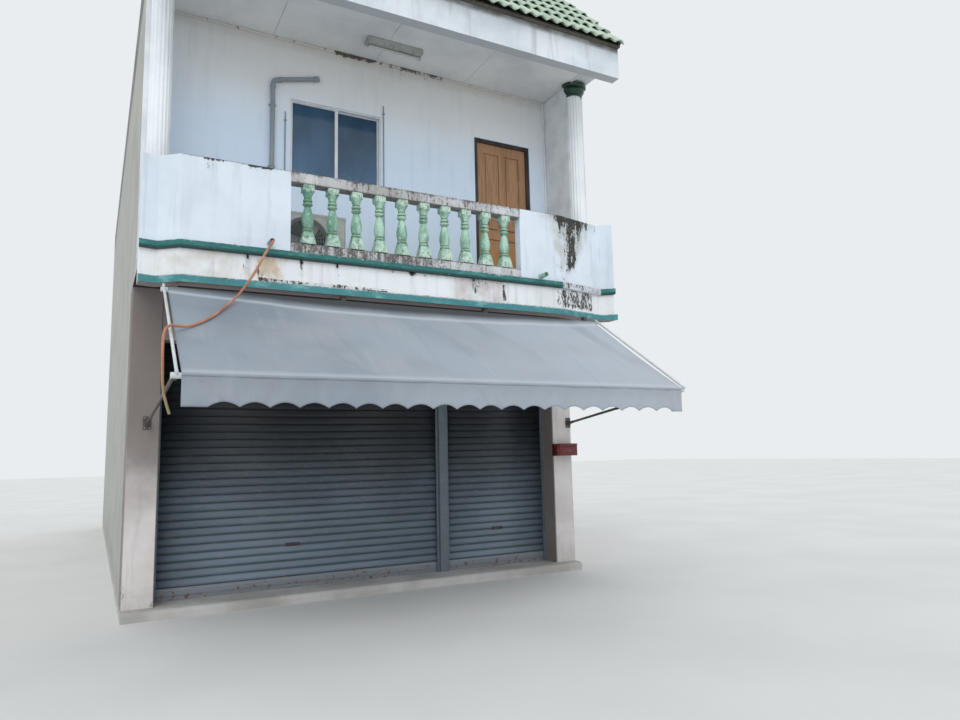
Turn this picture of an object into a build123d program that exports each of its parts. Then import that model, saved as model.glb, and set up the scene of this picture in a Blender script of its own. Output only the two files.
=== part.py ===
"""Two-storey shophouse unit: roller shutters and awning below, balustraded balcony above.

Millimetres, +Z up, ground at z = 0. The street is on the -Y side. Every y below is measured
from the roller-shutter line (street side negative) and every x from mid bay; SHUTTER_Y moves
the shutter line so that the finished building stands centred on the origin.
"""

from build123d import *
import math
import os

os.makedirs("parts", exist_ok=True)

# Bay and frame
BAY = 4600.0                # party line to party line
PIER_W = 270.0              # front pier, centred on the party line
PIER_D = 300.0
WALL_FRONT = -250.0         # street face of the piers and of the upper wall
WALL_T = 120.0              # rendered blockwork
FIN_IN = 100.0              # inner face of a party wall, from the party line
REAR_FACE = 9750.0          # outer face of the rear wall
FRONT_REACH = 2557.0        # foremost face, the awning's valance

# Heights
FLOOR_1 = 90.0              # ground slab and sill
OPENING_H = 2500.0          # head of the shutter openings
SLAB_UNDER = 2980.0         # underside of the upper floor
SLAB_T = 120.0
BALCONY_H = 2700.0          # upper floor to balcony ceiling
SOFFIT_T = 15.0
ROOF_T = 140.0              # roof slab over the ceiling boards
SCREED_T = 20.0             # raised finish of the flat roof, inside its kerbs
HEAD_D = 200.0              # depth of the beam over the shutters

# Sill and shutters
SILL_REACH = 380.0
POST_X = (755.0, 845.0)
SLAT = 76.0
SLAT_BULGE = 8.0
LOCK_SHIFT = -170.0          # lock of the wide curtain from its middle
SHEET_T = 3.0
GUIDE_W = 30.0
GUIDE_D = 50.0
GUIDE_SLOT = 18.0

# Balcony front, in plan
FACE_Y = -1225.0            # parapet face
VALLEY_Y = -1085.0          # parapet face at a party line
LEFT_SPLAY = 170.0
RIGHT_SPLAY = 620.0
FASCIA_DROP = 145.0         # fascia below the underside of the floor
UPSTAND = 98.0              # fascia above the upper floor
BAND_H = 66.0
LOWER_REACH = 40.0
UPPER_REACH = 22.0
FASCIA_BACK = 15.0
FASCIA_T = 120.0
PARAPET_T = 100.0
PARAPET_H = 749.0

# Balustrade
RAIL_X = (-1225.0, 1181.0)
KERB_H = 94.0
HANDRAIL_T = 101.0
BALUSTERS = 10
BALUSTER_PITCH = 230.5
BALUSTER_BACK = 57.0        # baluster centres behind the parapet face
BALUSTER_FOOT = (128.0, 88.0, 122.0)    # square at the floor, square at the top, height
BALUSTER_HEAD = (108.0, 56.0)           # square block under the rail, height
TURNED_SIDES = 12
TURNING = ((48, 0), (48, 18), (40, 28), (53, 94), (48, 146), (29, 238), (46, 257), (34, 274),
           (43, 291), (34, 308), (54, 376))
#          radius and height of the turned stem, from the top of its square foot

# Openings: left, right, sill and head above their own floor
WINDOW = (-1008.0, -1.0, 1120.0, 2045.0)
DOOR = (1183.0, 1956.0, 0.0, 2052.0)
REAR_DOOR = (1100.0, 1900.0, 0.0, 2000.0)
REAR_SHOP_WINDOW = (-1300.0, -290.0, 910.0, 2065.0)
REAR_ROOM_WINDOWS = ((-1300.0, -290.0, 890.0, 2045.0), (690.0, 1700.0, 890.0, 2045.0))
CASING = 16.0
CASING_D = 80.0
SASH_STILE = 12.0
SASH_RAIL = 40.0
MEETING_STILE = 34.0
SASH_T = 26.0
GLASS_T = 5.0
DOOR_CASING = 45.0
DOOR_STILE = 95.0
DOOR_MULLION = 75.0
DOOR_FOOT_RAIL = 200.0
DOOR_HEAD_RAIL = 120.0
LOCK_RAIL = (820.0, 920.0)  # heights above the door's foot

# Fins, columns and roof
FIN_FRONT = -750.0
COLUMN_R = 92.0
FLUTES = 16
FLUTE_R = 11.0
CAPITAL_H = 150.0
CAPITAL_REACH = 68.0        # abacus beyond the column
BEAM_DROP = 200.0           # edge beam below the balcony ceiling
BEAM_Y = (-1453.0, -1333.0)
SOFFIT_JOINTS = (-1200.0, -70.0, 1057.0)
TILE_SLOPE = 47.5
TILE_RUN = 1050.0           # plan depth of the tiled strip
TILE_DECK = 70.0
RIDGE_T = 120.0
ROOF_KERB = 300.0
KERB_T = 120.0

# Awning
AWNING_X = (-2222.0, 2045.0)
TOP_BAR = (-65.0, -83.0)            # y, z of the top bar from the foot of the parapet face
FRONT_BAR = (-2530.0, 1925.0)       # y, z of the front bar
TOP_BAR_R = 20.0
FRONT_BAR_R = 21.0
SIDE_ROD_R = 11.0
SIDE_ROD_OUT = 30.0         # side rods beyond the edges of the cloth
CLOTH_T = 6.0
CLOTH_SAG = 14.5
VALANCE = 223.0
ARCHES = 20
ARCH_W = 200.0
ARCH_H = 36.0
ARCH_START = 162.0          # plain stretch at the left end of the valance
ARM_FOOT_Z = 1725.0
ARM_R = 14.0
ARM_FEET = (-2271.0, 2395.0)

# Services
AC_X = (-1420.0, -640.0)
AC_Y = (-990.0, -700.0)
AC_FEET = 40.0
AC_H = 515.0
FAN_X = -1025.0
FAN_R = 210.0
VENT_X = (-1200.0, -760.0)
VENT_H = (2190.0, 2300.0)   # elbow and open end above the upper floor
VENT_R = 24.0
SPOUT_X = (-1405.0, 1420.0)
SPOUT_H = (150.0, 132.0)    # above the upper floor
SPOUT_R = (22.0, 26.0)
SPOUT_OUT = (105.0, 120.0)
SPOUT_WALL = 5.0
SPOUT_BORE = (35.0, 120.0)  # open depth; the left one ends at the hose pushed into it
HOSE_R = 10.0
HOSE_SIDES = 6
LETTERBOX = (280.0, 145.0, 130.0)       # width, height, depth
LETTERBOX_LOW = 1330.0

SHUTTER_Y = (FRONT_REACH - REAR_FACE) / 2
HALF = BAY / 2
SIDE = HALF + PIER_W / 2            # outer side faces
FIN = HALF - FIN_IN                 # inner faces of the party walls
REAR_IN = REAR_FACE - WALL_T

FLOOR_2 = SLAB_UNDER + SLAB_T
FASCIA_LOW = SLAB_UNDER - FASCIA_DROP
BAND_TOP = FLOOR_2 + UPSTAND        # top of the upper moulding, foot of the parapet
PARAPET_TOP = BAND_TOP + PARAPET_H
KERB_TOP = BAND_TOP + KERB_H
HANDRAIL_LOW = PARAPET_TOP - HANDRAIL_T
SOFFIT = FLOOR_2 + BALCONY_H
BOARD_TOP = SOFFIT + SOFFIT_T
ROOF_TOP = BOARD_TOP + ROOF_T       # top of the roof slab and of its edge beam


def level(z):
    """Sketch plane lying flat at height z: local x is across, local y is inwards."""
    return Plane(origin=(0, SHUTTER_Y, z))


def facing(y):
    """Upright sketch plane facing the street: local x is across, local y is up."""
    return Plane(origin=(0, SHUTTER_Y + y, 0), x_dir=(1, 0, 0), z_dir=(0, -1, 0))


def across(x):
    """Upright sketch plane looking along the street: local x is inwards, local y is up."""
    return Plane(origin=(x, SHUTTER_Y, 0), x_dir=(0, 1, 0), z_dir=(1, 0, 0))


def rect(x0, x1, y0, y1, mode=Mode.ADD):
    """Rectangle between two pairs of edges."""
    with Locations(((x0 + x1) / 2, (y0 + y1) / 2)):
        Rectangle(x1 - x0, y1 - y0, mode=mode)


def shape(*points, mode=Mode.ADD):
    """Filled polygon at its own coordinates."""
    Polygon(*points, align=None, mode=mode)


def street_line(out):
    """Plan line of the balcony front, out mm in front of the parapet face, left to right."""
    dip = VALLEY_Y - FACE_Y
    past = SIDE - HALF
    line = [(-SIDE, VALLEY_Y - dip * past / RIGHT_SPLAY), (-HALF, VALLEY_Y),
            (-HALF + LEFT_SPLAY, FACE_Y), (HALF - RIGHT_SPLAY, FACE_Y),
            (HALF, VALLEY_Y), (SIDE, VALLEY_Y - dip * past / LEFT_SPLAY)]
    return [(x, y - out) for x, y in line]


def strip(out, back):
    """Plan face that follows the balcony front between two offsets."""
    shape(*street_line(out), *reversed(street_line(-back)))


def hole(opening, floor):
    """Edges of an opening whose sill and head are given above its floor."""
    x0, x1, sill, head = opening
    return x0, x1, floor + sill, floor + head


def save(part, label):
    """Name a finished piece and write it."""
    part.label = label
    export_step(part, f"parts/{label}.step")


FRONT_WINDOW = hole(WINDOW, FLOOR_2)
FRONT_DOOR = hole(DOOR, FLOOR_2)
BACK_DOOR = hole(REAR_DOOR, FLOOR_1)
BACK_WINDOWS = [hole(REAR_SHOP_WINDOW, FLOOR_1)] + [hole(w, FLOOR_2) for w in REAR_ROOM_WINDOWS]


# Ground slab and street sill

with BuildPart() as ground_slab:
    with BuildSketch(level(0)):
        rect(-SIDE, SIDE, WALL_FRONT, REAR_FACE)
    extrude(amount=FLOOR_1)
save(ground_slab.part, "ground_slab")

with BuildPart() as threshold_sill:
    with BuildSketch(across(-SIDE)):
        with BuildLine():
            Polyline((WALL_FRONT, 0), (WALL_FRONT, FLOOR_1), (-SILL_REACH + 45, FLOOR_1 - 4))
            ThreePointArc((-SILL_REACH + 45, FLOOR_1 - 4), (-SILL_REACH + 14, FLOOR_1 - 18),
                          (-SILL_REACH + 4, FLOOR_1 - 48))
            Polyline((-SILL_REACH + 4, FLOOR_1 - 48), (-SILL_REACH, 0), (WALL_FRONT, 0))
        make_face()
    extrude(amount=2 * SIDE)
save(threshold_sill.part, "threshold_sill")

# Front piers and the beam over the shutters

with BuildPart() as front_piers:
    with BuildSketch(level(FLOOR_1)):
        for x in (-HALF, HALF):
            rect(x - PIER_W / 2, x + PIER_W / 2, WALL_FRONT, WALL_FRONT + PIER_D)
    extrude(amount=SLAB_UNDER - FLOOR_1)
    front_edges = front_piers.edges().filter_by(Axis.Z).group_by(Axis.Y)[0]
    chamfer(front_edges, length=8)
save(front_piers.part, "front_piers")

with BuildPart() as shutter_head_beam:
    with BuildSketch(facing(WALL_FRONT)):
        rect(-HALF + PIER_W / 2, HALF - PIER_W / 2, OPENING_H, SLAB_UNDER)
    extrude(amount=-HEAD_D)
save(shutter_head_beam.part, "shutter_head_beam")

# Roller shutters: curved slats, end guides and the post between the two curtains

JAMBS = (-HALF + PIER_W / 2, POST_X[0], POST_X[1], HALF - PIER_W / 2)
CURTAIN_TOP = OPENING_H + 60
SLATS = int((CURTAIN_TOP - FLOOR_1 - 60) // SLAT)
CURTAIN_FOOT = CURTAIN_TOP - SLATS * SLAT       # top of the bottom rail
SLAT_CURVE = ((0, 0), (0.9, 0.3), (0.9, 0.7))          # shares of the bulge and of the slat


def slat_line(back):
    """Side view of every slat's curve, from foot to top, back mm behind the street side."""
    line = [(back - SLAT_BULGE * out, CURTAIN_FOOT + (i + up) * SLAT)
            for i in range(SLATS) for out, up in SLAT_CURVE]
    return line + [(back, CURTAIN_TOP)]


def curtain(x0, x1, lock_x):
    """Closed curtain, one shallow outward curve a slat, 8 mm clear of each guide's back."""
    with BuildPart() as made:
        with BuildSketch(across(x0 + 8)):
            shape(*slat_line(0), *reversed(slat_line(SHEET_T)), (SHEET_T + 3, CURTAIN_FOOT - 6),
                  (SHEET_T + 3, FLOOR_1), (-6, FLOOR_1), (-6, CURTAIN_FOOT - 6))
        extrude(amount=x1 - x0 - 16)
        with BuildSketch(facing(-SLAT_BULGE - 4)):
            with Locations((lock_x, 515)):
                SlotOverall(150, 34)
        extrude(amount=-(SLAT_BULGE + 4))
    return made.part


save(curtain(JAMBS[0], JAMBS[1], (JAMBS[0] + JAMBS[1]) / 2 + LOCK_SHIFT), "wide_shutter")
save(curtain(JAMBS[2], JAMBS[3], (JAMBS[2] + JAMBS[3]) / 2), "narrow_shutter")

with BuildPart() as shutter_guides:
    with BuildSketch(level(FLOOR_1)):
        for jamb, inward in zip(JAMBS, (1, -1, 1, -1)):
            lip = jamb + inward * GUIDE_W
            rect(min(jamb, lip), max(jamb, lip), -GUIDE_D / 2, GUIDE_D / 2)
            inner = jamb + inward * 3
            rect(min(inner, lip), max(inner, lip), -GUIDE_SLOT / 2, GUIDE_SLOT / 2,
                 mode=Mode.SUBTRACT)
    extrude(amount=CURTAIN_TOP - FLOOR_1)
save(shutter_guides.part, "shutter_guides")

with BuildPart() as shutter_post:
    with BuildSketch(level(FLOOR_1)):
        rect(POST_X[0], POST_X[1], -50, 40)
    extrude(amount=CURTAIN_TOP - FLOOR_1)
    chamfer(shutter_post.edges().filter_by(Axis.Z), length=4)
save(shutter_post.part, "shutter_post")

# Party walls, each with its fin across the balcony


def party_wall(inner):
    """Plain side wall from pier to rear; above the balcony it runs out as a fin."""
    x0, x1 = (inner, SIDE) if inner > 0 else (-SIDE, inner)
    behind = WALL_FRONT + PIER_D
    with BuildPart() as made:
        with BuildSketch(across(x0)):
            shape((behind, FLOOR_1), (REAR_FACE, FLOOR_1), (REAR_FACE, BOARD_TOP), (FIN_FRONT, BOARD_TOP),
                  (FIN_FRONT, FLOOR_2), (WALL_FRONT, FLOOR_2), (WALL_FRONT, SLAB_UNDER),
                  (behind, SLAB_UNDER))
        extrude(amount=x1 - x0)
    return made.part


save(party_wall(-FIN), "left_party_wall")
save(party_wall(FIN), "right_party_wall")

# Rear wall, upper front wall and the floor between the storeys

with BuildPart() as rear_wall:
    with BuildSketch(facing(REAR_FACE)):
        rect(-FIN, FIN, FLOOR_1, BOARD_TOP)
        for edges in (BACK_DOOR, *BACK_WINDOWS):
            rect(*edges, mode=Mode.SUBTRACT)
    extrude(amount=WALL_T)
save(rear_wall.part, "rear_wall")

with BuildPart() as upper_front_wall:
    with BuildSketch(facing(WALL_FRONT)):
        rect(-FIN, FIN, FLOOR_2, BOARD_TOP)
        for edges in (FRONT_WINDOW, FRONT_DOOR):
            rect(*edges, mode=Mode.SUBTRACT)
    extrude(amount=-WALL_T)
save(upper_front_wall.part, "upper_front_wall")

with BuildPart() as upper_floor_slab:
    with BuildSketch(level(SLAB_UNDER)):
        shape(*street_line(-FASCIA_T), (SIDE, WALL_FRONT), (FIN, WALL_FRONT), (FIN, REAR_IN),
              (-FIN, REAR_IN), (-FIN, WALL_FRONT), (-SIDE, WALL_FRONT))
    extrude(amount=SLAB_T)
save(upper_floor_slab.part, "upper_floor_slab")

# Balcony front: fascia beam, two painted mouldings, parapet panels

with BuildPart() as balcony_fascia:
    with BuildSketch(level(FASCIA_LOW)):
        strip(-FASCIA_BACK, FASCIA_T)
    extrude(amount=BAND_TOP - FASCIA_LOW)
save(balcony_fascia.part, "balcony_fascia")


def moulding(z, reach, round_top):
    """Band along the fascia with a rounded arris."""
    with BuildPart() as made:
        with BuildSketch(level(z)):
            strip(reach, FASCIA_BACK)
        extrude(amount=BAND_H)
        arris = made.edges().group_by(Axis.Z)[-1 if round_top else 0]
        nose = [e for e in arris if (e @ 0.5).Y < SHUTTER_Y + street_middle((e @ 0.5).X) - 1
                and abs((e % 0.5).X) > 0.5]
        fillet(nose, radius=12)
    return made.part


def street_middle(x):
    """y of the parapet face at x."""
    line = street_line(0)
    for (xa, ya), (xb, yb) in zip(line, line[1:]):
        if xa <= x <= xb:
            return ya + (yb - ya) * (x - xa) / (xb - xa)
    return FACE_Y


save(moulding(FASCIA_LOW, LOWER_REACH, True), "lower_moulding")
save(moulding(BAND_TOP - BAND_H, UPPER_REACH, False), "upper_moulding")

with BuildPart() as parapet_panels:
    with BuildSketch(level(BAND_TOP)):
        strip(0, PARAPET_T)
        rect(RAIL_X[0], RAIL_X[1], FACE_Y - 1, FACE_Y + PARAPET_T + 1, mode=Mode.SUBTRACT)
    extrude(amount=PARAPET_H)
    chamfer(parapet_panels.edges().group_by(Axis.Z)[-1].filter_by(Axis.X), length=6)
save(parapet_panels.part, "parapet_panels")

# Balustrade: kerb, ten turned balusters, handrail

with BuildPart() as balustrade_kerb:
    with BuildSketch(across(RAIL_X[0])):
        shape((FACE_Y, BAND_TOP), (FACE_Y + PARAPET_T + 15, BAND_TOP),
              (FACE_Y + PARAPET_T + 15, KERB_TOP), (FACE_Y + 14, KERB_TOP), (FACE_Y, KERB_TOP - 10))
    extrude(amount=RAIL_X[1] - RAIL_X[0])
save(balustrade_kerb.part, "balustrade_kerb")

with BuildPart() as handrail:
    with BuildSketch(across(RAIL_X[0])):
        rect(FACE_Y - 6, FACE_Y + PARAPET_T + 20, HANDRAIL_LOW, PARAPET_TOP)
    extrude(amount=RAIL_X[1] - RAIL_X[0])
    fillet(handrail.edges().filter_by(Axis.X), radius=14)
save(handrail.part, "handrail")

FOOT_W, NECK_W, FOOT_H = BALUSTER_FOOT
BLOCK_W, BLOCK_H = BALUSTER_HEAD
BALUSTER_TOP = HANDRAIL_LOW - KERB_TOP
STRETCH = (BALUSTER_TOP - FOOT_H - BLOCK_H) / TURNING[-1][1]    # fits the stem to its height

with BuildPart() as baluster:
    with BuildSketch():
        Rectangle(FOOT_W, FOOT_W)
    extrude(amount=FOOT_H, taper=math.degrees(math.atan2((FOOT_W - NECK_W) / 2, FOOT_H)))
    for (radius, low), (next_radius, high) in zip(TURNING, TURNING[1:]):
        # each band narrows upwards as it is made, and a widening one is then turned over
        narrow, wide = sorted((radius, next_radius))
        start, rise = FOOT_H + low * STRETCH, (high - low) * STRETCH
        inset = (wide - narrow) * math.cos(math.pi / TURNED_SIDES)
        with BuildSketch(Plane.XY.offset(start)):
            RegularPolygon(wide, TURNED_SIDES)
        band = extrude(amount=rise, taper=math.degrees(math.atan2(inset, rise)), mode=Mode.PRIVATE)
        if next_radius > radius:
            mirror(band, about=Plane.XY.offset(start + rise / 2))
        else:
            add(band)
    with BuildSketch(Plane.XY.offset(BALUSTER_TOP - BLOCK_H)):
        Rectangle(BLOCK_W, BLOCK_W)
    extrude(amount=BLOCK_H)

BALUSTER_MID = (RAIL_X[0] + RAIL_X[1]) / 2
BALUSTER_Y = SHUTTER_Y + FACE_Y + BALUSTER_BACK

with BuildPart() as balusters:
    spots = [(BALUSTER_MID + (i - (BALUSTERS - 1) / 2) * BALUSTER_PITCH, BALUSTER_Y, KERB_TOP)
             for i in range(BALUSTERS)]
    with Locations(*spots):
        add(baluster.part)
save(balusters.part, "balusters")

# Windows: white casing, two sliding sashes, glass


def each_window():
    """Every window as (edges, y of the outer wall face, inward direction)."""
    return [(FRONT_WINDOW, WALL_FRONT, 1)] + [(edges, REAR_FACE, -1) for edges in BACK_WINDOWS]


with BuildPart() as window_frames:
    for (x0, x1, z0, z1), face_y, inward in each_window():
        with BuildSketch(facing(face_y + inward * 15)):
            rect(x0, x1, z0, z1)
            rect(x0 + CASING, x1 - CASING, z0 + CASING, z1 - CASING, mode=Mode.SUBTRACT)
        extrude(amount=-inward * CASING_D)
save(window_frames.part, "window_frames")


def sashes(edges):
    """Outline, glass edges and depth of the two sashes, which overlap at the meeting stile."""
    x0, x1, z0, z1 = edges
    x0, x1, z0, z1 = x0 + CASING, x1 - CASING, z0 + CASING, z1 - CASING
    mid = (x0 + x1) / 2
    half = MEETING_STILE / 2
    glass_z = (z0 + SASH_RAIL, z1 - SASH_STILE)
    return [((x0, mid + half, z0, z1), (x0 + SASH_STILE, mid - half, *glass_z), 25),
            ((mid - half, x1, z0, z1), (mid + half, x1 - SASH_STILE, *glass_z), 56)]


with BuildPart() as window_sashes:
    for edges, face_y, inward in each_window():
        for outline, pane, depth in sashes(edges):
            with BuildSketch(facing(face_y + inward * depth)):
                rect(*outline)
                rect(*pane, mode=Mode.SUBTRACT)
            extrude(amount=-inward * SASH_T)
save(window_sashes.part, "window_sashes")

with BuildPart() as window_glass:
    for edges, face_y, inward in each_window():
        for outline, pane, depth in sashes(edges):
            with BuildSketch(facing(face_y + inward * (depth + 10))):
                rect(*pane)
            extrude(amount=-inward * GLASS_T)
save(window_glass.part, "window_glass")

# Doors: the balcony door and the plain rear one, with their casings

with BuildPart() as door_frames:
    for (x0, x1, z0, z1), face_y, inward in ((FRONT_DOOR, WALL_FRONT, 1), (BACK_DOOR, REAR_FACE, -1)):
        with BuildSketch(facing(face_y + inward * 10)):
            rect(x0, x1, z0, z1)
            rect(x0 + DOOR_CASING, x1 - DOOR_CASING, z0, z1 - DOOR_CASING, mode=Mode.SUBTRACT)
        extrude(amount=-inward * 100)
save(door_frames.part, "door_frames")


def panel_door(edges, face_y, inward):
    """Timber leaf that fills its casing, with four fielded panels on its outer side."""
    x0, x1, z0, z1 = (edges[0] + DOOR_CASING, edges[1] - DOOR_CASING, edges[2], edges[3] - DOOR_CASING)
    middle = (x0 + x1) / 2
    columns = ((x0 + DOOR_STILE, middle - DOOR_MULLION / 2), (middle + DOOR_MULLION / 2, x1 - DOOR_STILE))
    rows = ((z0 + DOOR_FOOT_RAIL, z0 + LOCK_RAIL[0]), (z0 + LOCK_RAIL[1], z1 - DOOR_HEAD_RAIL))
    with BuildPart() as made:
        with BuildSketch(facing(face_y + inward * 35)):
            rect(x0, x1, z0, z1)
        extrude(amount=-inward * 40)
        with BuildSketch(facing(face_y + inward * 35)):
            for left, right in columns:
                for low, high in rows:
                    rect(left, right, low, high)
                    rect(left + 32, right - 32, low + 32, high - 32, mode=Mode.SUBTRACT)
        extrude(amount=-inward * 12, mode=Mode.SUBTRACT)
    return made.part


save(panel_door(FRONT_DOOR, WALL_FRONT, 1), "balcony_door")
save(panel_door(BACK_DOOR, REAR_FACE, -1), "rear_door")

# Fluted half-round columns on the fin ends and their capitals

with BuildPart() as balcony_columns:
    for x in (-HALF, HALF):
        with BuildSketch(level(FLOOR_2)):
            with Locations((x, FIN_FRONT)):
                Circle(COLUMN_R)
                with PolarLocations(COLUMN_R + 4, FLUTES):
                    RegularPolygon(FLUTE_R, 6, mode=Mode.SUBTRACT)
            rect(x - 2 * COLUMN_R, x + 2 * COLUMN_R, FIN_FRONT, FIN_FRONT + 2 * COLUMN_R,
                 mode=Mode.SUBTRACT)
        extrude(amount=SOFFIT - CAPITAL_H - FLOOR_2)
save(balcony_columns.part, "balcony_columns")

ABACUS = COLUMN_R + CAPITAL_REACH
CAPITAL_FOOT = SOFFIT - CAPITAL_H
CAPITAL_LINE = ((0, 0), (COLUMN_R + 10, 0), (COLUMN_R + 10, 0.12), (COLUMN_R + 4, 0.16),
                (COLUMN_R + 12, 0.34), (COLUMN_R + 32, 0.48), (ABACUS - 12, 0.56),
                (ABACUS, 0.62), (ABACUS, 1), (0, 1))        # radius, share of the height

with BuildPart() as column_capitals:
    for x in (-HALF, HALF):
        with BuildSketch(across(x)):
            shape(*[(FIN_FRONT - r, CAPITAL_FOOT + share * CAPITAL_H) for r, share in CAPITAL_LINE])
        revolve(axis=Axis((x, SHUTTER_Y + FIN_FRONT, 0), (0, 0, 1)))
    with BuildSketch(level(CAPITAL_FOOT)):
        rect(-HALF - ABACUS, HALF + ABACUS, FIN_FRONT, FIN_FRONT + ABACUS)
        rect(-HALF - ABACUS, -SIDE, FIN_FRONT - ABACUS, FIN_FRONT)
        rect(SIDE, HALF + ABACUS, FIN_FRONT - ABACUS, FIN_FRONT)
    extrude(amount=CAPITAL_H, mode=Mode.SUBTRACT)
save(column_capitals.part, "column_capitals")

# Balcony ceiling boards and the batten lamp

with BuildPart() as soffit_boards:
    with BuildSketch(level(SOFFIT)):
        rect(-FIN, FIN, BEAM_Y[1], WALL_FRONT)
        for x in SOFFIT_JOINTS:
            rect(x - 2, x + 2, BEAM_Y[1] - 1, WALL_FRONT + 1, mode=Mode.SUBTRACT)
    extrude(amount=SOFFIT_T)
save(soffit_boards.part, "soffit_boards")

with BuildPart() as soffit_lamp:
    with BuildSketch(across(-300)):
        shape((-560, SOFFIT), (-710, SOFFIT), (-714, SOFFIT - 16), (-655, SOFFIT - 58),
              (-615, SOFFIT - 58), (-556, SOFFIT - 16))
    extrude(amount=620)
    with BuildSketch(across(-285)):
        with Locations((-635, SOFFIT - 76)):
            Circle(14)
    extrude(amount=590)
    with BuildSketch(across(-300)):
        rect(-652, -618, SOFFIT - 92, SOFFIT - 58)
    extrude(amount=16)
    with BuildSketch(across(304)):
        rect(-652, -618, SOFFIT - 92, SOFFIT - 58)
    extrude(amount=16)
save(soffit_lamp.part, "soffit_lamp")

# Roof: edge beam, slab, tiled strip with its ridge, low parapet round the flat roof

with BuildPart() as roof_edge_beam:
    with BuildSketch(across(-SIDE)):
        rect(BEAM_Y[0], BEAM_Y[1], SOFFIT - BEAM_DROP, ROOF_TOP)
    extrude(amount=2 * SIDE)
save(roof_edge_beam.part, "roof_edge_beam")

TILE_EAVE = BEAM_Y[0] - 45.0
RIDGE_Y = TILE_EAVE + TILE_RUN

with BuildPart() as roof_slab:
    with BuildSketch(level(BOARD_TOP)):
        rect(-SIDE, SIDE, BEAM_Y[1], REAR_FACE)
    extrude(amount=ROOF_T)
    with BuildSketch(level(ROOF_TOP)):
        rect(-SIDE + KERB_T, SIDE - KERB_T, RIDGE_Y + RIDGE_T, REAR_FACE - KERB_T)
    extrude(amount=SCREED_T)
save(roof_slab.part, "roof_slab")

TILE_RISE = TILE_RUN * math.tan(math.radians(TILE_SLOPE))
TILE_FOOT = ROOF_TOP + 20.0
DROP = TILE_DECK / math.cos(math.radians(TILE_SLOPE))
FOOT_BACK = (DROP - TILE_FOOT + ROOF_TOP) / math.tan(math.radians(TILE_SLOPE))

with BuildPart() as tile_slope:
    with BuildSketch(across(-SIDE)):
        shape((TILE_EAVE, TILE_FOOT), (RIDGE_Y, TILE_FOOT + TILE_RISE),
              (RIDGE_Y, TILE_FOOT + TILE_RISE - DROP), (TILE_EAVE + FOOT_BACK, ROOF_TOP),
              (BEAM_Y[0] + 5, ROOF_TOP), (TILE_EAVE, TILE_FOOT - 18))
    extrude(amount=2 * SIDE)
save(tile_slope.part, "tile_slope")

RIDGE_TOP = TILE_FOOT + TILE_RISE

with BuildPart() as roof_parapet:
    with BuildSketch(level(ROOF_TOP)):
        rect(-SIDE, SIDE, RIDGE_Y, REAR_FACE)
        rect(-SIDE + KERB_T, SIDE - KERB_T, RIDGE_Y + RIDGE_T, REAR_FACE - KERB_T,
             mode=Mode.SUBTRACT)
    extrude(amount=ROOF_KERB)
    with BuildSketch(level(ROOF_TOP + ROOF_KERB)):
        rect(-SIDE, SIDE, RIDGE_Y, RIDGE_Y + RIDGE_T)
    extrude(amount=RIDGE_TOP - ROOF_TOP - ROOF_KERB)
    for x in (-SIDE, SIDE - KERB_T):
        with BuildSketch(across(x)):
            shape((RIDGE_Y, ROOF_TOP), (RIDGE_Y, TILE_FOOT + TILE_RISE - DROP),
                  (TILE_EAVE + FOOT_BACK, ROOF_TOP))
        extrude(amount=KERB_T)
save(roof_parapet.part, "roof_parapet")

with BuildPart() as ridge_cap:
    with BuildSketch(across(-SIDE)):
        with BuildLine():
            Polyline((RIDGE_Y - 30, RIDGE_TOP), (RIDGE_Y - 30, RIDGE_TOP + 60))
            ThreePointArc((RIDGE_Y - 30, RIDGE_TOP + 60), (RIDGE_Y + RIDGE_T / 2, RIDGE_TOP + 105),
                          (RIDGE_Y + RIDGE_T + 30, RIDGE_TOP + 60))
            Polyline((RIDGE_Y + RIDGE_T + 30, RIDGE_TOP + 60), (RIDGE_Y + RIDGE_T + 30, RIDGE_TOP),
                     (RIDGE_Y - 30, RIDGE_TOP))
        make_face()
    extrude(amount=2 * SIDE)
save(ridge_cap.part, "ridge_cap")

# Awning: cloth, scalloped valance, bars, folding arms and brackets

TOP_Y, TOP_Z = FACE_Y + TOP_BAR[0], FASCIA_LOW + TOP_BAR[1]
BAR_Y, BAR_Z = FRONT_BAR
AWNING_W = AWNING_X[1] - AWNING_X[0]

FALL = Vector(BAR_Y - TOP_Y, BAR_Z - TOP_Z).normalized()
LIFT = Vector(FALL.Y, -FALL.X)              # outward normal of the cloth, in y and z
CLOTH_BACK = BAR_Y - FRONT_BAR_R
VALANCE_TOP = BAR_Z + 12


def off_cloth(y, z, distance):
    """Point a distance above the straight line of the cloth."""
    return (y + LIFT.X * distance, z + LIFT.Y * distance)


with BuildPart() as awning_canvas:
    with BuildSketch(across(AWNING_X[0])):
        with BuildLine():
            middle = ((TOP_Y + BAR_Y) / 2, (TOP_Z + BAR_Z) / 2)
            under = [off_cloth(TOP_Y, TOP_Z, TOP_BAR_R + 0.5),
                     off_cloth(*middle, TOP_BAR_R + 0.5 - CLOTH_SAG),
                     off_cloth(BAR_Y, BAR_Z, FRONT_BAR_R + 0.5)]
            over = [off_cloth(*point, CLOTH_T) for point in under]
            ThreePointArc(*under)
            ThreePointArc(*over)
            Line(under[0], over[0])
            Polyline(under[2], (CLOTH_BACK, VALANCE_TOP), (CLOTH_BACK - CLOTH_T, VALANCE_TOP),
                     over[2])
        make_face()
    extrude(amount=AWNING_W)
save(awning_canvas.part, "awning_canvas")

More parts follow.
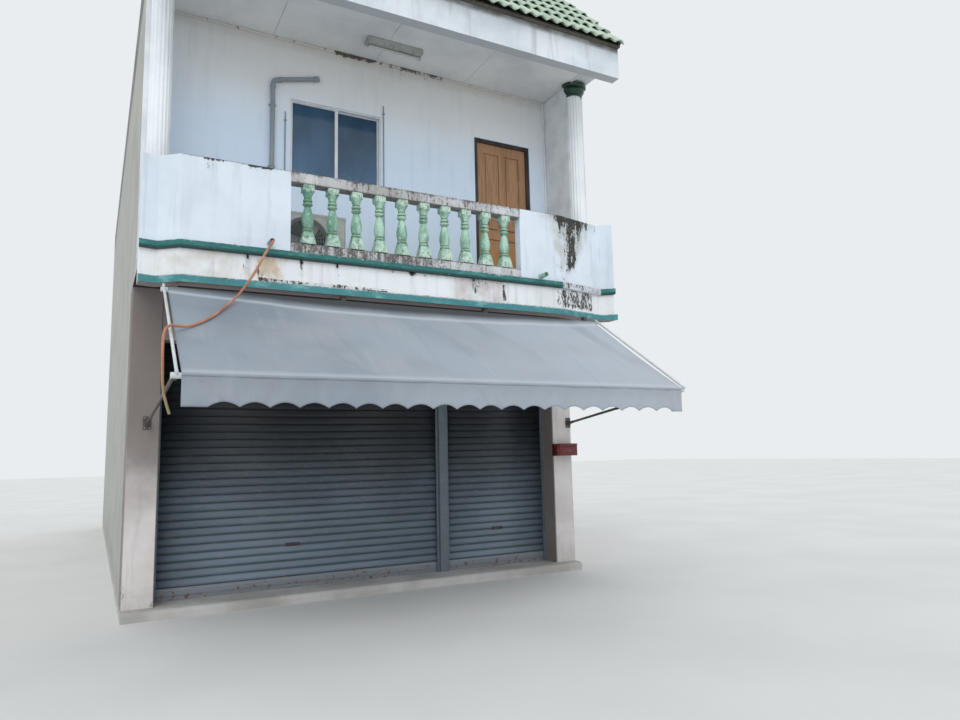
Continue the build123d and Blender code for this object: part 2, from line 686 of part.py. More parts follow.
with BuildPart() as awning_valance:
    with BuildSketch(facing(CLOTH_BACK)):
        low = BAR_Z + FRONT_BAR_R - VALANCE
        first = AWNING_X[0] + ARCH_START
        with BuildLine():
            Polyline((first, low), (AWNING_X[0], low), (AWNING_X[0], VALANCE_TOP),
                     (AWNING_X[1], VALANCE_TOP), (AWNING_X[1], low), (first + ARCHES * ARCH_W, low))
            for i in range(ARCHES):
                x = first + i * ARCH_W
                Polyline((x, low), (x + 0.2 * ARCH_W, low + 0.65 * ARCH_H),
                         (x + 0.5 * ARCH_W, low + ARCH_H),
                         (x + 0.8 * ARCH_W, low + 0.65 * ARCH_H), (x + ARCH_W, low))
        make_face()
    extrude(amount=CLOTH_T)
save(awning_valance.part, "awning_valance")

ROD_X = (AWNING_X[0] - SIDE_ROD_OUT, AWNING_X[1] + SIDE_ROD_OUT)
ROD_TOP = off_cloth(TOP_Y, TOP_Z, TOP_BAR_R + SIDE_ROD_R + 0.5)
ROD_END = off_cloth(BAR_Y, BAR_Z, FRONT_BAR_R + SIDE_ROD_R + 0.5)
ROD_LINE = Vector(ROD_END[0] - ROD_TOP[0], ROD_END[1] - ROD_TOP[1])
ROD_OVER = 25.0             # rods run past the bars at both ends

with BuildPart() as awning_bars:
    with BuildSketch(across(ROD_X[0] - 20)):
        with Locations((TOP_Y, TOP_Z)):
            Circle(TOP_BAR_R)
    extrude(amount=ROD_X[1] - ROD_X[0] + 36)
    with BuildSketch(across(ROD_X[0] - 34)):
        with Locations((BAR_Y, BAR_Z)):
            Circle(FRONT_BAR_R)
    extrude(amount=ROD_X[1] - ROD_X[0] + 45)
    for x in ROD_X:
        foot = (x, SHUTTER_Y + ROD_TOP[0] - FALL.X * ROD_OVER, ROD_TOP[1] - FALL.Y * ROD_OVER)
        with BuildSketch(Plane(origin=foot, z_dir=(0, FALL.X, FALL.Y))):
            Circle(SIDE_ROD_R)
        extrude(amount=ROD_LINE.length + 2 * ROD_OVER)
save(awning_bars.part, "awning_bars")

ARM_X = ((ARM_FEET[0], AWNING_X[0] - 40), (ARM_FEET[1], AWNING_X[1] + 10))
PIVOT_Y = WALL_FRONT - 42
YOKE_Y = BAR_Y + 70

with BuildPart() as awning_arms:
    for foot_x, head_x in ARM_X:
        with BuildSketch(facing(PIVOT_Y)):
            with Locations((foot_x, ARM_FOOT_Z)):
                Circle(ARM_R)
        with BuildSketch(facing(YOKE_Y)):
            with Locations((head_x, BAR_Z)):
                Circle(ARM_R)
        loft()
save(awning_arms.part, "awning_arms")

with BuildPart() as awning_brackets:
    for foot_x, head_x in ARM_X:
        with BuildSketch(facing(WALL_FRONT)):
            rect(foot_x - 35, foot_x + 35, ARM_FOOT_Z - 60, ARM_FOOT_Z + 60)
        extrude(amount=6)
        with BuildSketch(across(foot_x - 18)):
            rect(PIVOT_Y, WALL_FRONT - 6, ARM_FOOT_Z - 22, ARM_FOOT_Z + 22)
        extrude(amount=36)
        with BuildSketch(across(head_x - 17)):
            rect(BAR_Y, YOKE_Y, BAR_Z - 26, BAR_Z + 16)
            with Locations((BAR_Y, BAR_Z)):
                Circle(FRONT_BAR_R, mode=Mode.SUBTRACT)
        extrude(amount=34)
    for x in (AWNING_X[0] + 60, -740, 740, AWNING_X[1] - 60):
        with BuildSketch(across(x - 20)):
            rect(TOP_Y, FACE_Y + FASCIA_BACK, TOP_Z - 34, TOP_Z + 4)
            with Locations((TOP_Y, TOP_Z)):
                Circle(TOP_BAR_R, mode=Mode.SUBTRACT)
        extrude(amount=40)
        with BuildSketch(across(x - 20)):
            rect(FACE_Y - LOWER_REACH + 30, FACE_Y + FASCIA_BACK + 30, TOP_Z + 4, FASCIA_LOW)
        extrude(amount=40)
save(awning_brackets.part, "awning_brackets")

# Services: condenser, pipe, spouts, hose, letterbox

AC_Z = (FLOOR_2 + AC_FEET, FLOOR_2 + AC_FEET + AC_H)
FAN_Z = (AC_Z[0] + AC_Z[1]) / 2

with BuildPart() as ac_condenser:
    with BuildSketch(facing(AC_Y[0])):
        rect(AC_X[0], AC_X[1], AC_Z[0], AC_Z[1])
    extrude(amount=-(AC_Y[1] - AC_Y[0]))
    chamfer(ac_condenser.edges().filter_by(Axis.Z), length=14)
    with BuildSketch(facing(AC_Y[0])):
        with Locations((FAN_X, FAN_Z)):
            Circle(FAN_R)
    extrude(amount=-60, mode=Mode.SUBTRACT)
    for x in (AC_X[0] + 90, AC_X[1] - 130):
        with BuildSketch(level(FLOOR_2)):
            rect(x, x + 40, AC_Y[0] - 15, AC_Y[1] + 15)
        extrude(amount=AC_FEET)
save(ac_condenser.part, "ac_condenser")

with BuildPart() as ac_fan_guard:
    with BuildSketch(facing(AC_Y[0])):
        with Locations((FAN_X, FAN_Z)):
            for r in (FAN_R + 8, FAN_R * 0.64, FAN_R * 0.28):
                RegularPolygon(r, 18)
                RegularPolygon(r - 9, 18, mode=Mode.SUBTRACT)
            with PolarLocations(FAN_R * 0.62, 6):
                Rectangle(FAN_R * 0.78, 9)
    extrude(amount=6)
save(ac_fan_guard.part, "ac_fan_guard")

VENT_Y = WALL_FRONT - VENT_R - 8
VENT = [(VENT_X[0], VENT_Y, FLOOR_2), (VENT_X[0], VENT_Y, FLOOR_2 + VENT_H[0]),
        (VENT_X[1], VENT_Y, FLOOR_2 + VENT_H[1])]

with BuildPart() as vent_pipe:
    with BuildLine() as vent_line:
        FilletPolyline(*[(x, y + SHUTTER_Y, z) for x, y, z in VENT], radius=2.5 * VENT_R)
    with BuildSketch(Plane(origin=vent_line.line @ 0, z_dir=vent_line.line % 0)):
        Circle(VENT_R)
    sweep(path=vent_line.line)
    with BuildSketch(Plane(origin=vent_line.line @ 1, z_dir=vent_line.line % 1)):
        Circle(VENT_R + 7)
    extrude(amount=46)
save(vent_pipe.part, "vent_pipe")

with BuildPart() as drain_spouts:
    for x, up, radius, out, bore in zip(SPOUT_X, SPOUT_H, SPOUT_R, SPOUT_OUT, SPOUT_BORE):
        with BuildSketch(facing(FACE_Y)):
            with Locations((x, FLOOR_2 + up)):
                Circle(radius)
        extrude(amount=out)
        with BuildSketch(facing(FACE_Y - out)):
            with Locations((x, FLOOR_2 + up)):
                Circle(radius - SPOUT_WALL)
        extrude(amount=-bore, mode=Mode.SUBTRACT)
save(drain_spouts.part, "drain_spouts")

HOSE = [(-1405, -1295, 3244), (-1405, -1350, 3244), (-1410, -1400, 3219), (-1440, -1424, 3176),
        (-1476, -1434, 3116), (-1525, -1436, 3010), (-1590, -1438, 2885), (-1657, -1450, 2775),
        (-1740, -1498, 2666), (-1851, -1647, 2548), (-1962, -1803, 2441), (-2074, -1906, 2371),
        (-2156, -1980, 2338), (-2208, -2024, 2333), (-2259, -2072, 2329), (-2295, -2112, 2290),
        (-2307, -2141, 2222), (-2307, -2148, 2150), (-2304, -2148, 2030), (-2300, -2146, 1905),
        (-2284, -2143, 1800), (-2250, -2142, 1700)]


def bends(route):
    """Largest arc that each inner point of a route leaves room for."""
    points = [Vector(*point) for point in route]
    runs = [b - a for a, b in zip(points, points[1:])]
    return [0.45 * min(a.length, b.length) / math.tan(math.radians(a.get_angle(b)) / 2)
            for a, b in zip(runs, runs[1:])]


print("drain hose radii", [round(radius) for radius in bends(HOSE)])

with BuildPart() as drain_hose:
    with BuildLine() as hose_line:
        FilletPolyline(*[(x, y + SHUTTER_Y, z) for x, y, z in HOSE], radius=bends(HOSE))
    with BuildSketch(Plane(origin=hose_line.line @ 0, z_dir=hose_line.line % 0)):
        RegularPolygon(HOSE_R, HOSE_SIDES)
    sweep(path=hose_line.line)
save(drain_hose.part, "drain_hose")
HOSE_LENGTH = sum(edge.length for edge in hose_line.line.edges())
HOSE_SECTION = HOSE_SIDES / 2 * HOSE_R ** 2 * math.sin(2 * math.pi / HOSE_SIDES)
print("drain hose length", round(HOSE_LENGTH), "volume over section times length",
      round(drain_hose.part.volume / (HOSE_SECTION * HOSE_LENGTH), 4))

with BuildPart() as letterbox:
    with BuildSketch(facing(WALL_FRONT)):
        rect(SIDE - LETTERBOX[0] - 5, SIDE - 5, LETTERBOX_LOW, LETTERBOX_LOW + LETTERBOX[1])
    extrude(amount=LETTERBOX[2])
    fillet(letterbox.edges().filter_by(Axis.Y), radius=30)
save(letterbox.part, "letterbox")
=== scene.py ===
"""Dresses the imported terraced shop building: finishes, cloth, hose and fine parts."""
from __future__ import annotations

import logging
import math
import random
from dataclasses import dataclass, replace
from enum import Enum
from functools import reduce
from typing import Callable, Sequence, Union

import bmesh
import bpy
from mathutils import Matrix, Vector

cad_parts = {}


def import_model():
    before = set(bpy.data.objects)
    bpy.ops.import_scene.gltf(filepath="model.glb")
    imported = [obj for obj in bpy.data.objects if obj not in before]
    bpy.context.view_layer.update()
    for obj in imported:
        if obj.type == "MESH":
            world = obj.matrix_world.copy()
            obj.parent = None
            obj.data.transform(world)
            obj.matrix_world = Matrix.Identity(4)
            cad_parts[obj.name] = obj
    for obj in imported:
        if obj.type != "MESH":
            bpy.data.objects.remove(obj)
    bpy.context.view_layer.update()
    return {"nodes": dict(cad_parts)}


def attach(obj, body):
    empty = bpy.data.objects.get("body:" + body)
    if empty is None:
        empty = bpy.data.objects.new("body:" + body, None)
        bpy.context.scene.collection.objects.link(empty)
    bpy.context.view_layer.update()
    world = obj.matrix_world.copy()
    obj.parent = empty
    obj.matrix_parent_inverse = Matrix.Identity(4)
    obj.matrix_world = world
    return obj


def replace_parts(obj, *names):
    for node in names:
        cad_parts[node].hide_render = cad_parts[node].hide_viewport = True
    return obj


LOG = logging.getLogger("shop")
STREET = -3.5965  # y of the shutter line in the part's frame
SIDE = 2.435  # outer faces of the party walls
FACE = -1.225  # parapet face, from the shutter line
SLAT_PITCH = 0.076
SLAT_FOOT = 0.204  # foot of the lowest slat
WEEP_X = (-1.589, -1.126, -0.795, -0.05, 0.62)  # drip pipes and the stains under them
CREASE = (0.25, 0.165, -0.09, 2.13)  # how far down the awning's crease lies, its bow, its middle and half its width
WALL_Y = -0.2495  # back of the pieces on the upper front wall, from the shutter line
DECK_Z = 3.1  # balcony floor
CEILING_Z = 5.7995  # top of the pieces under the balcony's ceiling
PAINT_IOR = 1.45

Colour = tuple[float, float, float]
Point = tuple[float, float, float]
Amount = Union["Wire", float]


def tint(code: str) -> Colour:
    """Linear colour of an sRGB hex code.

    Args:
        code: Six hex digits.

    Returns:
        Red, green and blue as the shader wants them.
    """
    parts = [int(code[i:i + 2], 16) / 255 for i in (0, 2, 4)]
    return tuple(p / 12.92 if p <= 0.04045 else ((p + 0.055) / 1.055) ** 2.4 for p in parts)


def scaled(colour: Colour, share: float) -> Colour:
    """Colour made darker or lighter by a factor, up to full white."""
    return tuple(min(1.0, c * share) for c in colour)


def at(x: float, y: float, z: float) -> Vector:
    """Point given from the shutter line, in the part's frame."""
    return Vector((x, y + STREET, z))


class Wire:
    """One output of a shader graph, so that shader maths reads as plain expressions."""

    def __init__(self, graph: Graph, socket: bpy.types.NodeSocket) -> None:
        """Hold one output of a node in a graph."""
        self.graph = graph
        self.socket = socket

    def __add__(self, other: Amount) -> Wire:
        """Sum with another amount."""
        return self.graph.math("ADD", self, other)

    __radd__ = __add__

    def __sub__(self, other: Amount) -> Wire:
        """This amount less another."""
        return self.graph.math("SUBTRACT", self, other)

    def __rsub__(self, other: Amount) -> Wire:
        """Another amount less this one."""
        return self.graph.math("SUBTRACT", other, self)

    def __mul__(self, other: Amount) -> Wire:
        """Product with another amount."""
        return self.graph.math("MULTIPLY", self, other)

    __rmul__ = __mul__

    def __truediv__(self, other: Amount) -> Wire:
        """This amount divided by another."""
        return self.graph.math("DIVIDE", self, other)

    def size(self) -> Wire:
        """Absolute value."""
        return self.graph.math("ABSOLUTE", self)

    def wave(self) -> Wire:
        """Sine."""
        return self.graph.math("SINE", self)

    def part(self, step: float) -> Wire:
        """Share of the way through a repeating step, from 0 to 1."""
        return self.graph.math("FRACT", self / step)

    def least(self, other: Amount) -> Wire:
        """The smaller of two amounts."""
        return self.graph.math("MINIMUM", self, other)

    def most(self, other: Amount) -> Wire:
        """The larger of two amounts."""
        return self.graph.math("MAXIMUM", self, other)

    def fade(self, low: Amount, high: Amount) -> Wire:
        """Smooth rise from 0 at low to 1 at high."""
        made = self.graph.node("ShaderNodeMapRange", {0: self, 1: low, 2: high}, interpolation_type="SMOOTHSTEP")
        return Wire(self.graph, made.outputs[0])


class Graph:
    """Node tree of one material, written as expressions over wires."""

    def __init__(self, name: str) -> None:
        """Start a bare material with its object coordinates at hand.

        Args:
            name: The material's name.
        """
        self.material = bpy.data.materials.new(name)
        self.material.use_nodes = True
        self.tree = self.material.node_tree
        self.tree.nodes.clear()
        where = self.node("ShaderNodeTexCoord")
        self.place = Wire(self, where.outputs["Object"])
        split = self.node("ShaderNodeSeparateXYZ", {0: self.place})
        self.x, self.y, self.z = (Wire(self, out) for out in split.outputs)

    def node(self, kind: str, inputs: dict | None = None, **settings: object) -> bpy.types.Node:
        """Add one node.

        Args:
            kind: Blender's node type.
            inputs: Wires or plain values by socket name or number.
            settings: The node's own properties.

        Returns:
            The new node.
        """
        made = self.tree.nodes.new(kind)
        for name, value in settings.items():
            setattr(made, name, value)
        for name, value in (inputs or {}).items():
            self.feed(made.inputs[name], value)
        return made

    def feed(self, socket: bpy.types.NodeSocket, value: object) -> None:
        """Link a wire into a socket, or set its plain value.

        Args:
            socket: Input of a node.
            value: A wire, or the value that holds all over the surface.
        """
        if isinstance(value, Wire):
            self.tree.links.new(value.socket, socket)
        elif isinstance(value, tuple) and len(value) == 3 and socket.type == "RGBA":
            socket.default_value = (*value, 1.0)
        else:
            socket.default_value = value

    def math(self, operation: str, first: Amount, second: Amount | None = None) -> Wire:
        """One maths node."""
        inputs = {0: first} if second is None else {0: first, 1: second}
        return Wire(self, self.node("ShaderNodeMath", inputs, operation=operation).outputs[0])

    def stretched(self, stretch: Point) -> Wire:
        """Object coordinates scaled along each axis.

        Args:
            stretch: Factor along x, y and z.

        Returns:
            The coordinates, for a texture to read.
        """
        if stretch == (1, 1, 1):
            return self.place
        made = self.node("ShaderNodeVectorMath", {0: self.place, 1: stretch}, operation="MULTIPLY")
        return Wire(self, made.outputs[0])

    def noise(self, scale: float, detail: float = 3, rough: float = 0.5, stretch: Point = (1, 1, 1),
              twist: float = 0.0) -> Wire:
        """Cloudy noise, about 0.5 in the mean."""
        made = self.node("ShaderNodeTexNoise", {"Vector": self.stretched(stretch), "Scale": scale, "Detail": detail,
                                                "Roughness": rough, "Distortion": twist})
        return Wire(self, made.outputs[0])

    def blend(self, share: Amount, first: object, second: object) -> Wire:
        """Colour between two others."""
        made = self.node("ShaderNodeMix", {0: share, 6: first, 7: second}, data_type="RGBA")
        return Wire(self, made.outputs[2])

    def layers(self, colour: object, *coats: tuple[Amount, object]) -> Wire:
        """Colours laid over a first one in turn.

        Args:
            colour: The lowest colour.
            coats: Share and colour of each layer over it; a string is a hex code.

        Returns:
            The colour that is left to see.
        """
        for share, own in coats:
            colour = self.blend(share, colour, tint(own) if isinstance(own, str) else own)
        return colour

    def attribute(self, name: str) -> Wire:
        """Value that the mesh carries at its corners under this name."""
        return Wire(self, self.node("ShaderNodeAttribute", attribute_name=name).outputs["Fac"])

    def facing(self, axis: int) -> Wire:
        """Component of the surface's own normal along x, y or z, from -1 to 1."""
        normal = Wire(self, self.node("ShaderNodeNewGeometry").outputs["Normal"])
        return Wire(self, self.node("ShaderNodeSeparateXYZ", {0: normal}).outputs[axis])

    def surface(self, colour: object, rough: Amount, metal: Amount = 0.0, height: Wire | None = None,
                depth: float = 0.001, coat: float = 0.0, coat_rough: float = 0.1, sheen: float = 0.0) -> None:
        """Finish the graph with one principled surface.

        Args:
            colour: Base colour, plain or a wire.
            rough: Roughness.
            metal: Metallic share.
            height: Bump height wire, 0 to 1.
            depth: Depth in metres that a height of 1 stands for.
            coat: Clear coat weight.
            coat_rough: Roughness of the coat.
            sheen: Sheen weight.
        """
        inputs = {"Base Color": colour, "Roughness": rough, "Metallic": metal, "Coat Weight": coat,
                  "Coat Roughness": coat_rough, "Sheen Weight": sheen, "IOR": PAINT_IOR}
        if height is not None:
            bump = self.node("ShaderNodeBump", {"Height": height, "Distance": depth, "Strength": 1.0})
            inputs["Normal"] = Wire(self, bump.outputs[0])
        shader = self.node("ShaderNodeBsdfPrincipled", inputs)
        self.tree.links.new(shader.outputs[0], self.node("ShaderNodeOutputMaterial").inputs[0])


@dataclass(frozen=True)
class Zone:
    """A stain's place on a wall, in metres; zones also place painted light and shade on some walls.

    Attributes:
        x: Left and right edge.
        z: Foot and head.
        amount: How strongly it grows, 0 to 1.
        soft: Width of its soft edge.
        narrow: Share of its width that is left at its foot.
        fray: How far its edges wander, in metres.
    """

    x: tuple[float, float]
    z: tuple[float, float]
    amount: float = 1.0
    soft: float = 0.05
    narrow: float = 1.0
    fray: float = 0.3

    def mask(self, g: Graph, wander: Wire) -> Wire:
        """Share of the zone at each point.

        Args:
            g: Graph to write into.
            wander: Noise round 0 that frays the edges.

        Returns:
            The share, 0 to the zone's amount.
        """
        (left, right), (foot, head), soft = self.x, self.z, self.soft
        across, height = g.x + wander * self.fray, g.z + wander * (self.fray * 0.5)
        rise = height.fade(foot - soft, foot + soft) - height.fade(head, head + soft)
        away = (across - (left + right) / 2).size()
        if self.narrow < 1:
            up = ((g.z - foot) / (head - foot)).most(0.0).least(1.0)
            away = away / (up * (1 - self.narrow) + self.narrow)
        half = (right - left) / 2
        return rise * (1 - away.fade(half - soft, half + soft)) * self.amount


@dataclass(frozen=True)
class Finish:
    """A procedural surface, made once and shared by the pieces that wear it."""

    name: str

    def paint(self, g: Graph) -> None:
        """Write the surface into a graph."""
        raise NotImplementedError

    def material(self) -> bpy.types.Material:
        """The finish as a material, made at its first use.

        Returns:
            The material; _look is added to its name, as the CAD's own materials keep the plain names.
        """
        made = bpy.data.materials.get(self.name + "_look")
        if made is None:
            graph = Graph(self.name + "_look")
            self.paint(graph)
            made = graph.material
        return made


@dataclass(frozen=True)
class Plaster(Finish):
    """Painted or bare render, with runs, mould and stained places.

    Attributes:
        base: Main colour.
        shade: Second colour of the broad clouds.
        mould: Colour of the growth.
        runs: Strength of the faint vertical runs.
        speckle: Even growth over all of it, 0 to 1.
        zones: Places where mould grows.
        stain_and_light_tints: Places with a colour of their own and how strong it is: stains on most walls, painted
            light and shade on the wall under the balcony's ceiling, a stain with a painted shadow along the beam's
            top.
        grain: Depth of the surface's grain in metres.
        top_dirt: Growth on faces that look up.
        under: How much faces that look down take under_colour, a painted shade on most finishes.
        under_colour: Colour of those faces: a darker painted shade, but a pale underside on roof_concrete.
        patchy: How broken the clouds of its colour are, 0 to 1.
        blur: Half the width of the growth's soft edge.
    """

    base: Colour
    shade: Colour
    mould: Colour = tint("35332e")
    runs: float = 0.3
    speckle: float = 0.0
    zones: tuple[Zone, ...] = ()
    stain_and_light_tints: tuple[tuple[Zone, Colour, float], ...] = ()
    grain: float = 0.0012
    top_dirt: float = 0.35
    under: float = 0.0
    under_colour: Colour = tint("5d554e")
    patchy: float = 1.0
    blur: float = 0.12

    def tone(self, g: Graph) -> tuple[Wire, Wire, Wire]:
        """Colour, growth and grain of the render.

        Args:
            g: Graph to write into.

        Returns:
            The colour, the share of mould and the bump height.
        """
        wander = g.noise(10, 5, 0.65, (1, 1, 0.5)) - 0.5
        patchy = g.noise(7, 4).fade(0.3, 0.6) * self.patchy + (1 - self.patchy)
        run = g.noise(11, 5, 0.6, (1, 1, 0.09)).fade(0.5, 0.78) * self.runs
        facing = g.facing(2)
        colour = g.layers(
            g.blend(g.noise(1.6, 5, 0.6).fade(0.35, 0.7), self.base, self.shade),
            # Tints: stains, and on some walls painted light and shade.
            *((zone.mask(g, wander) * patchy * share, own) for zone, own, share in self.stain_and_light_tints),
            (run, scaled(self.base, 0.42)))
        # Painted shade: faces that look down take under_colour; roof_concrete's is pale.
        if self.under:
            colour = g.blend((1 - facing.fade(-0.9, -0.4)) * self.under, colour, self.under_colour)
        mask = facing.fade(0.4, 0.9) * self.top_dirt + self.speckle
        for zone in self.zones:
            mask = mask + zone.mask(g, wander)
        mask = mask.least(1.25)
        drips = g.noise(17, 5, 0.6, (1, 1, 0.14))
        value = (g.noise(44, 7, 0.75, (1, 1, 0.6)) - 0.5) * 2.4 + (drips - 0.5) * 1.9
        film = (value * 0.3 + mask).fade(0.25, 1.2) * 0.4
        growth = (value + mask).fade(0.9 - self.blur, 0.9 + self.blur)
        tufts = g.blend(g.noise(95, 4, 0.7).fade(0.42, 0.68), self.mould, scaled(self.mould, 3.2))
        colour = g.layers(colour, (film, tuple((c + m) * 0.4 for c, m in zip(self.base, self.mould))),
                          (growth * 0.95, tufts))
        fine = g.noise(240, 3, 0.6) * 0.5 + g.noise(28, 5, 0.6) * 0.5
        return colour, growth, fine - growth * 0.25

    def paint(self, g: Graph) -> None:
        """Write the render with its growth into a graph."""
        colour, growth, height = self.tone(g)
        g.surface(colour, growth * 0.1 + 0.78, height=height, depth=self.grain)


@dataclass(frozen=True)
class BandPaint(Plaster):
    """Green painted moulding; beyond its end the band is bare white render with mould.

    Attributes:
        green: Paint colour.
        pale: Worn paint colour.
        ends: x beyond which the paint is missing, up to the second value.
        edge: Height of the band's upper edge.
        ragged: How far white wash from above hangs over its edge, 0 to 1.
        foot: Strength of the painted shadow line along its lower part.
    """

    green: Colour = tint("3f8573")
    pale: Colour = tint("6fa596")
    ends: tuple[float, float] = (9.0, 9.1)
    edge: float = 3.198
    ragged: float = 0.16
    foot: float = 0.0

    def paint(self, g: Graph) -> None:
        """Green paint between the moulding's ends, chipped and black along its edge.

        Args:
            g: Graph to write into.
        """
        bare, growth, height = self.tone(g)
        worn = g.noise(13, 6, 0.65, (0.4, 1, 1)).fade(0.48, 0.68)
        paint = g.blend(worn * 0.75, self.green, self.pale)
        # Painted shadow: a dark line along the band's lower part, under its profile.
        if self.foot:
            line = 1 - (g.z + (g.noise(8, 3) - 0.5) * 0.006).fade(self.edge - 0.046, self.edge - 0.034)
            paint = g.layers(paint, (line * self.foot, "14423d"))
        hang = g.z.fade(self.edge - 0.022, self.edge + 0.006) * self.ragged
        chipped = (g.noise(34, 7, 0.7) + hang).fade(0.66, 0.7)
        black = (g.noise(30, 6, 0.7, (1, 1, 0.6)) + g.z.fade(self.edge - 0.02, self.edge) * 0.2).fade(0.7, 0.78)
        first, last = (g.x.fade(end - 0.01, end + 0.01) for end in self.ends)
        # The layer on faces that look down is a painted shade in under_colour.
        paint = g.layers(
            paint, (g.noise(3, 3).fade(0.5, 0.8) * 0.5, scaled(self.green, 0.6)), (chipped * 0.8, "b9beba"),
            (black * 0.75, self.mould), (1 - g.facing(2).fade(-0.9, -0.5), self.under_colour), (first - last, bare))
        g.surface(paint, 0.55 + growth * 0.2, height=height, depth=0.0012)


@dataclass(frozen=True)
class PartyWall(Plaster):
    """Grey cement render outside, white paint inside the balcony and on its street edge."""

    inner: Colour = tint("e9ecef")

    def paint(self, g: Graph) -> None:
        """Cement render, with white paint towards the balcony and the street.

        Args:
            g: Graph to write into.
        """
        colour, growth, height = self.tone(g)
        front_half = 1 - g.y.fade(STREET + 9.0, STREET + 9.1)
        room_side = (1 - g.x.size().fade(2.203, 2.208)) * front_half
        street_edge = 1 - g.y.fade(STREET - 0.747, STREET - 0.743)
        white = g.layers(self.inner, (g.noise(4, 4).fade(0.4, 0.7) * 0.5, "c6cbd0"), (growth * 0.6, self.mould))
        share = room_side.most(street_edge) * g.z.fade(3.05, 3.12)
        g.surface(g.blend(share, colour, white), 0.82, height=height, depth=self.grain)


@dataclass(frozen=True)
class PierPaint(Plaster):
    """Worn pale pier, with a brown painted shade on its sides and under the left awning's end."""

    # Brown of the painted shade.
    side: Colour = tint("776d69")

    def paint(self, g: Graph) -> None:
        """Pale paint, with a brown painted shade on the sides and high up at the left.

        Args:
            g: Graph to write into.
        """
        colour, growth, height = self.tone(g)
        # Painted shade: faces to the sides, and the left pier's upper part under the awning, turn brown.
        side = g.facing(0).size().fade(0.4, 0.8)
        left = (1 - g.x.fade(-2.1, -2.0)) * (g.z + (g.noise(3, 4) - 0.5) * 0.8).fade(0.7, 1.7)
        colour = g.blend((side * 0.85).most(left * 0.85), colour, self.side)
        g.surface(colour, 0.8 + growth * 0.1, height=height, depth=self.grain)


@dataclass(frozen=True)
class BalusterPaint(Finish):
    """Mint paint that has weathered white at the feet and the head blocks."""

    base: Colour = tint("b2d6c3")
    deep: Colour = tint("78a58f")
    foot: float = 3.292
    head: float = 3.846
    grooves: tuple[float, ...] = (0.15, 0.396, 0.431, 0.355, 0.124)

    def paint(self, g: Graph) -> None:
        """Mint paint, whiter at both ends and darker in its grooves.

        Args:
            g: Graph to write into.
        """
        ends = 1 - g.z.fade(self.foot + 0.02, self.foot + 0.15) + g.z.fade(self.head - 0.075, self.head - 0.045)
        white = (g.noise(26, 6, 0.65) + ends * 0.16).fade(0.5, 0.76)
        hollow = self.hollow(g)
        dirt = (g.noise(60, 6, 0.75, (1, 1, 0.4)) + ends * 0.05 + hollow * 0.04).fade(0.58, 0.66)
        colour = g.layers(
            g.blend(g.noise(14, 5, 0.6, (1, 1, 0.4)).fade(0.4, 0.62), self.base, self.deep),
            ((1 - g.x.fade(-1.2, -0.5)) * 0.8, "518c76"), (white * 0.8, "d0dfd2"), (hollow * 0.7, "56704a"),
            (dirt * 0.75, "41483a"))
        g.surface(colour, 0.62, height=g.noise(90, 4, 0.6), depth=0.0012, coat=0.08, coat_rough=0.4)

    def hollow(self, g: Graph) -> Wire:
        """Share of the dark colour that lies in the turned grooves.

        Args:
            g: Graph to write into.

        Returns:
            The share at each height.
        """
        up = g.z - self.foot
        rings = [1 - (up - groove).size().fade(0.004, 0.012) for groove in self.grooves]
        return reduce(Wire.most, rings)


@dataclass(frozen=True)
class SlatEnamel(Finish):
    """Enamelled steel curtain, dark in its joints and dusty, with painted shade at its head under the awning and over
    each slat's curve, and painted light that makes it paler towards its foot.
    """

    base: Colour = tint("434b53")
    # Pale colour of the painted light towards the foot.
    pale: Colour = tint("8496a6")
    rust: Colour = tint("6d4a35")

    def paint(self, g: Graph) -> None:
        """Dark enamel with dark joints and dust, painted shade at its head and over each slat's curve, and painted
        light towards its foot.

        Args:
            g: Graph to write into.
        """
        # Painted light: paler towards the foot; painted shade: near black at the head, under the awning.
        low = (1 - g.z.fade(0.05, 1.9)) * 0.64 + (1 - g.z.fade(0.08, 0.35)) * 0.35
        high = g.z.fade(0.85, 1.85)
        cloud = g.noise(2.2, 5, 0.6, (0.5, 1, 1.6)).fade(0.35, 0.75) * 0.22
        step = (g.z - SLAT_FOOT).part(SLAT_PITCH)
        # Dark joints, with painted shade fading over each slat's curve.
        joint_and_curve_shade = 1 - step.fade(0.0, 0.42) + step.fade(0.72, 1.0)
        dust = g.noise(9, 6, 0.7, (1, 1, 5)).fade(0.5, 0.78) * (0.36 - high * 0.34)
        scratch = g.noise(60, 4, 0.7, (0.05, 1, 1)).fade(0.68, 0.74) * (0.4 - high * 0.3)
        eaten = (g.noise(22, 7, 0.72) + (1 - g.z.fade(0.09, 0.3)) * 0.13 - high * 0.1).fade(0.66, 0.73)
        colour = g.layers(
            g.blend((cloud + low).least(1.0), self.base, self.pale), (high * 0.88, "12151a"),
            (joint_and_curve_shade * 0.55, "1d2226"), ((1 - g.z.fade(0.17, 0.24)) * 0.7, "85868a"), (dust, "9a968c"),
            (scratch, "aab3b9"), (eaten * 0.85, self.rust))
        g.surface(colour, 0.5 + dust * 0.4 + eaten * 0.3, height=g.noise(35, 4), depth=0.0006, coat=0.05,
                  coat_rough=0.4)


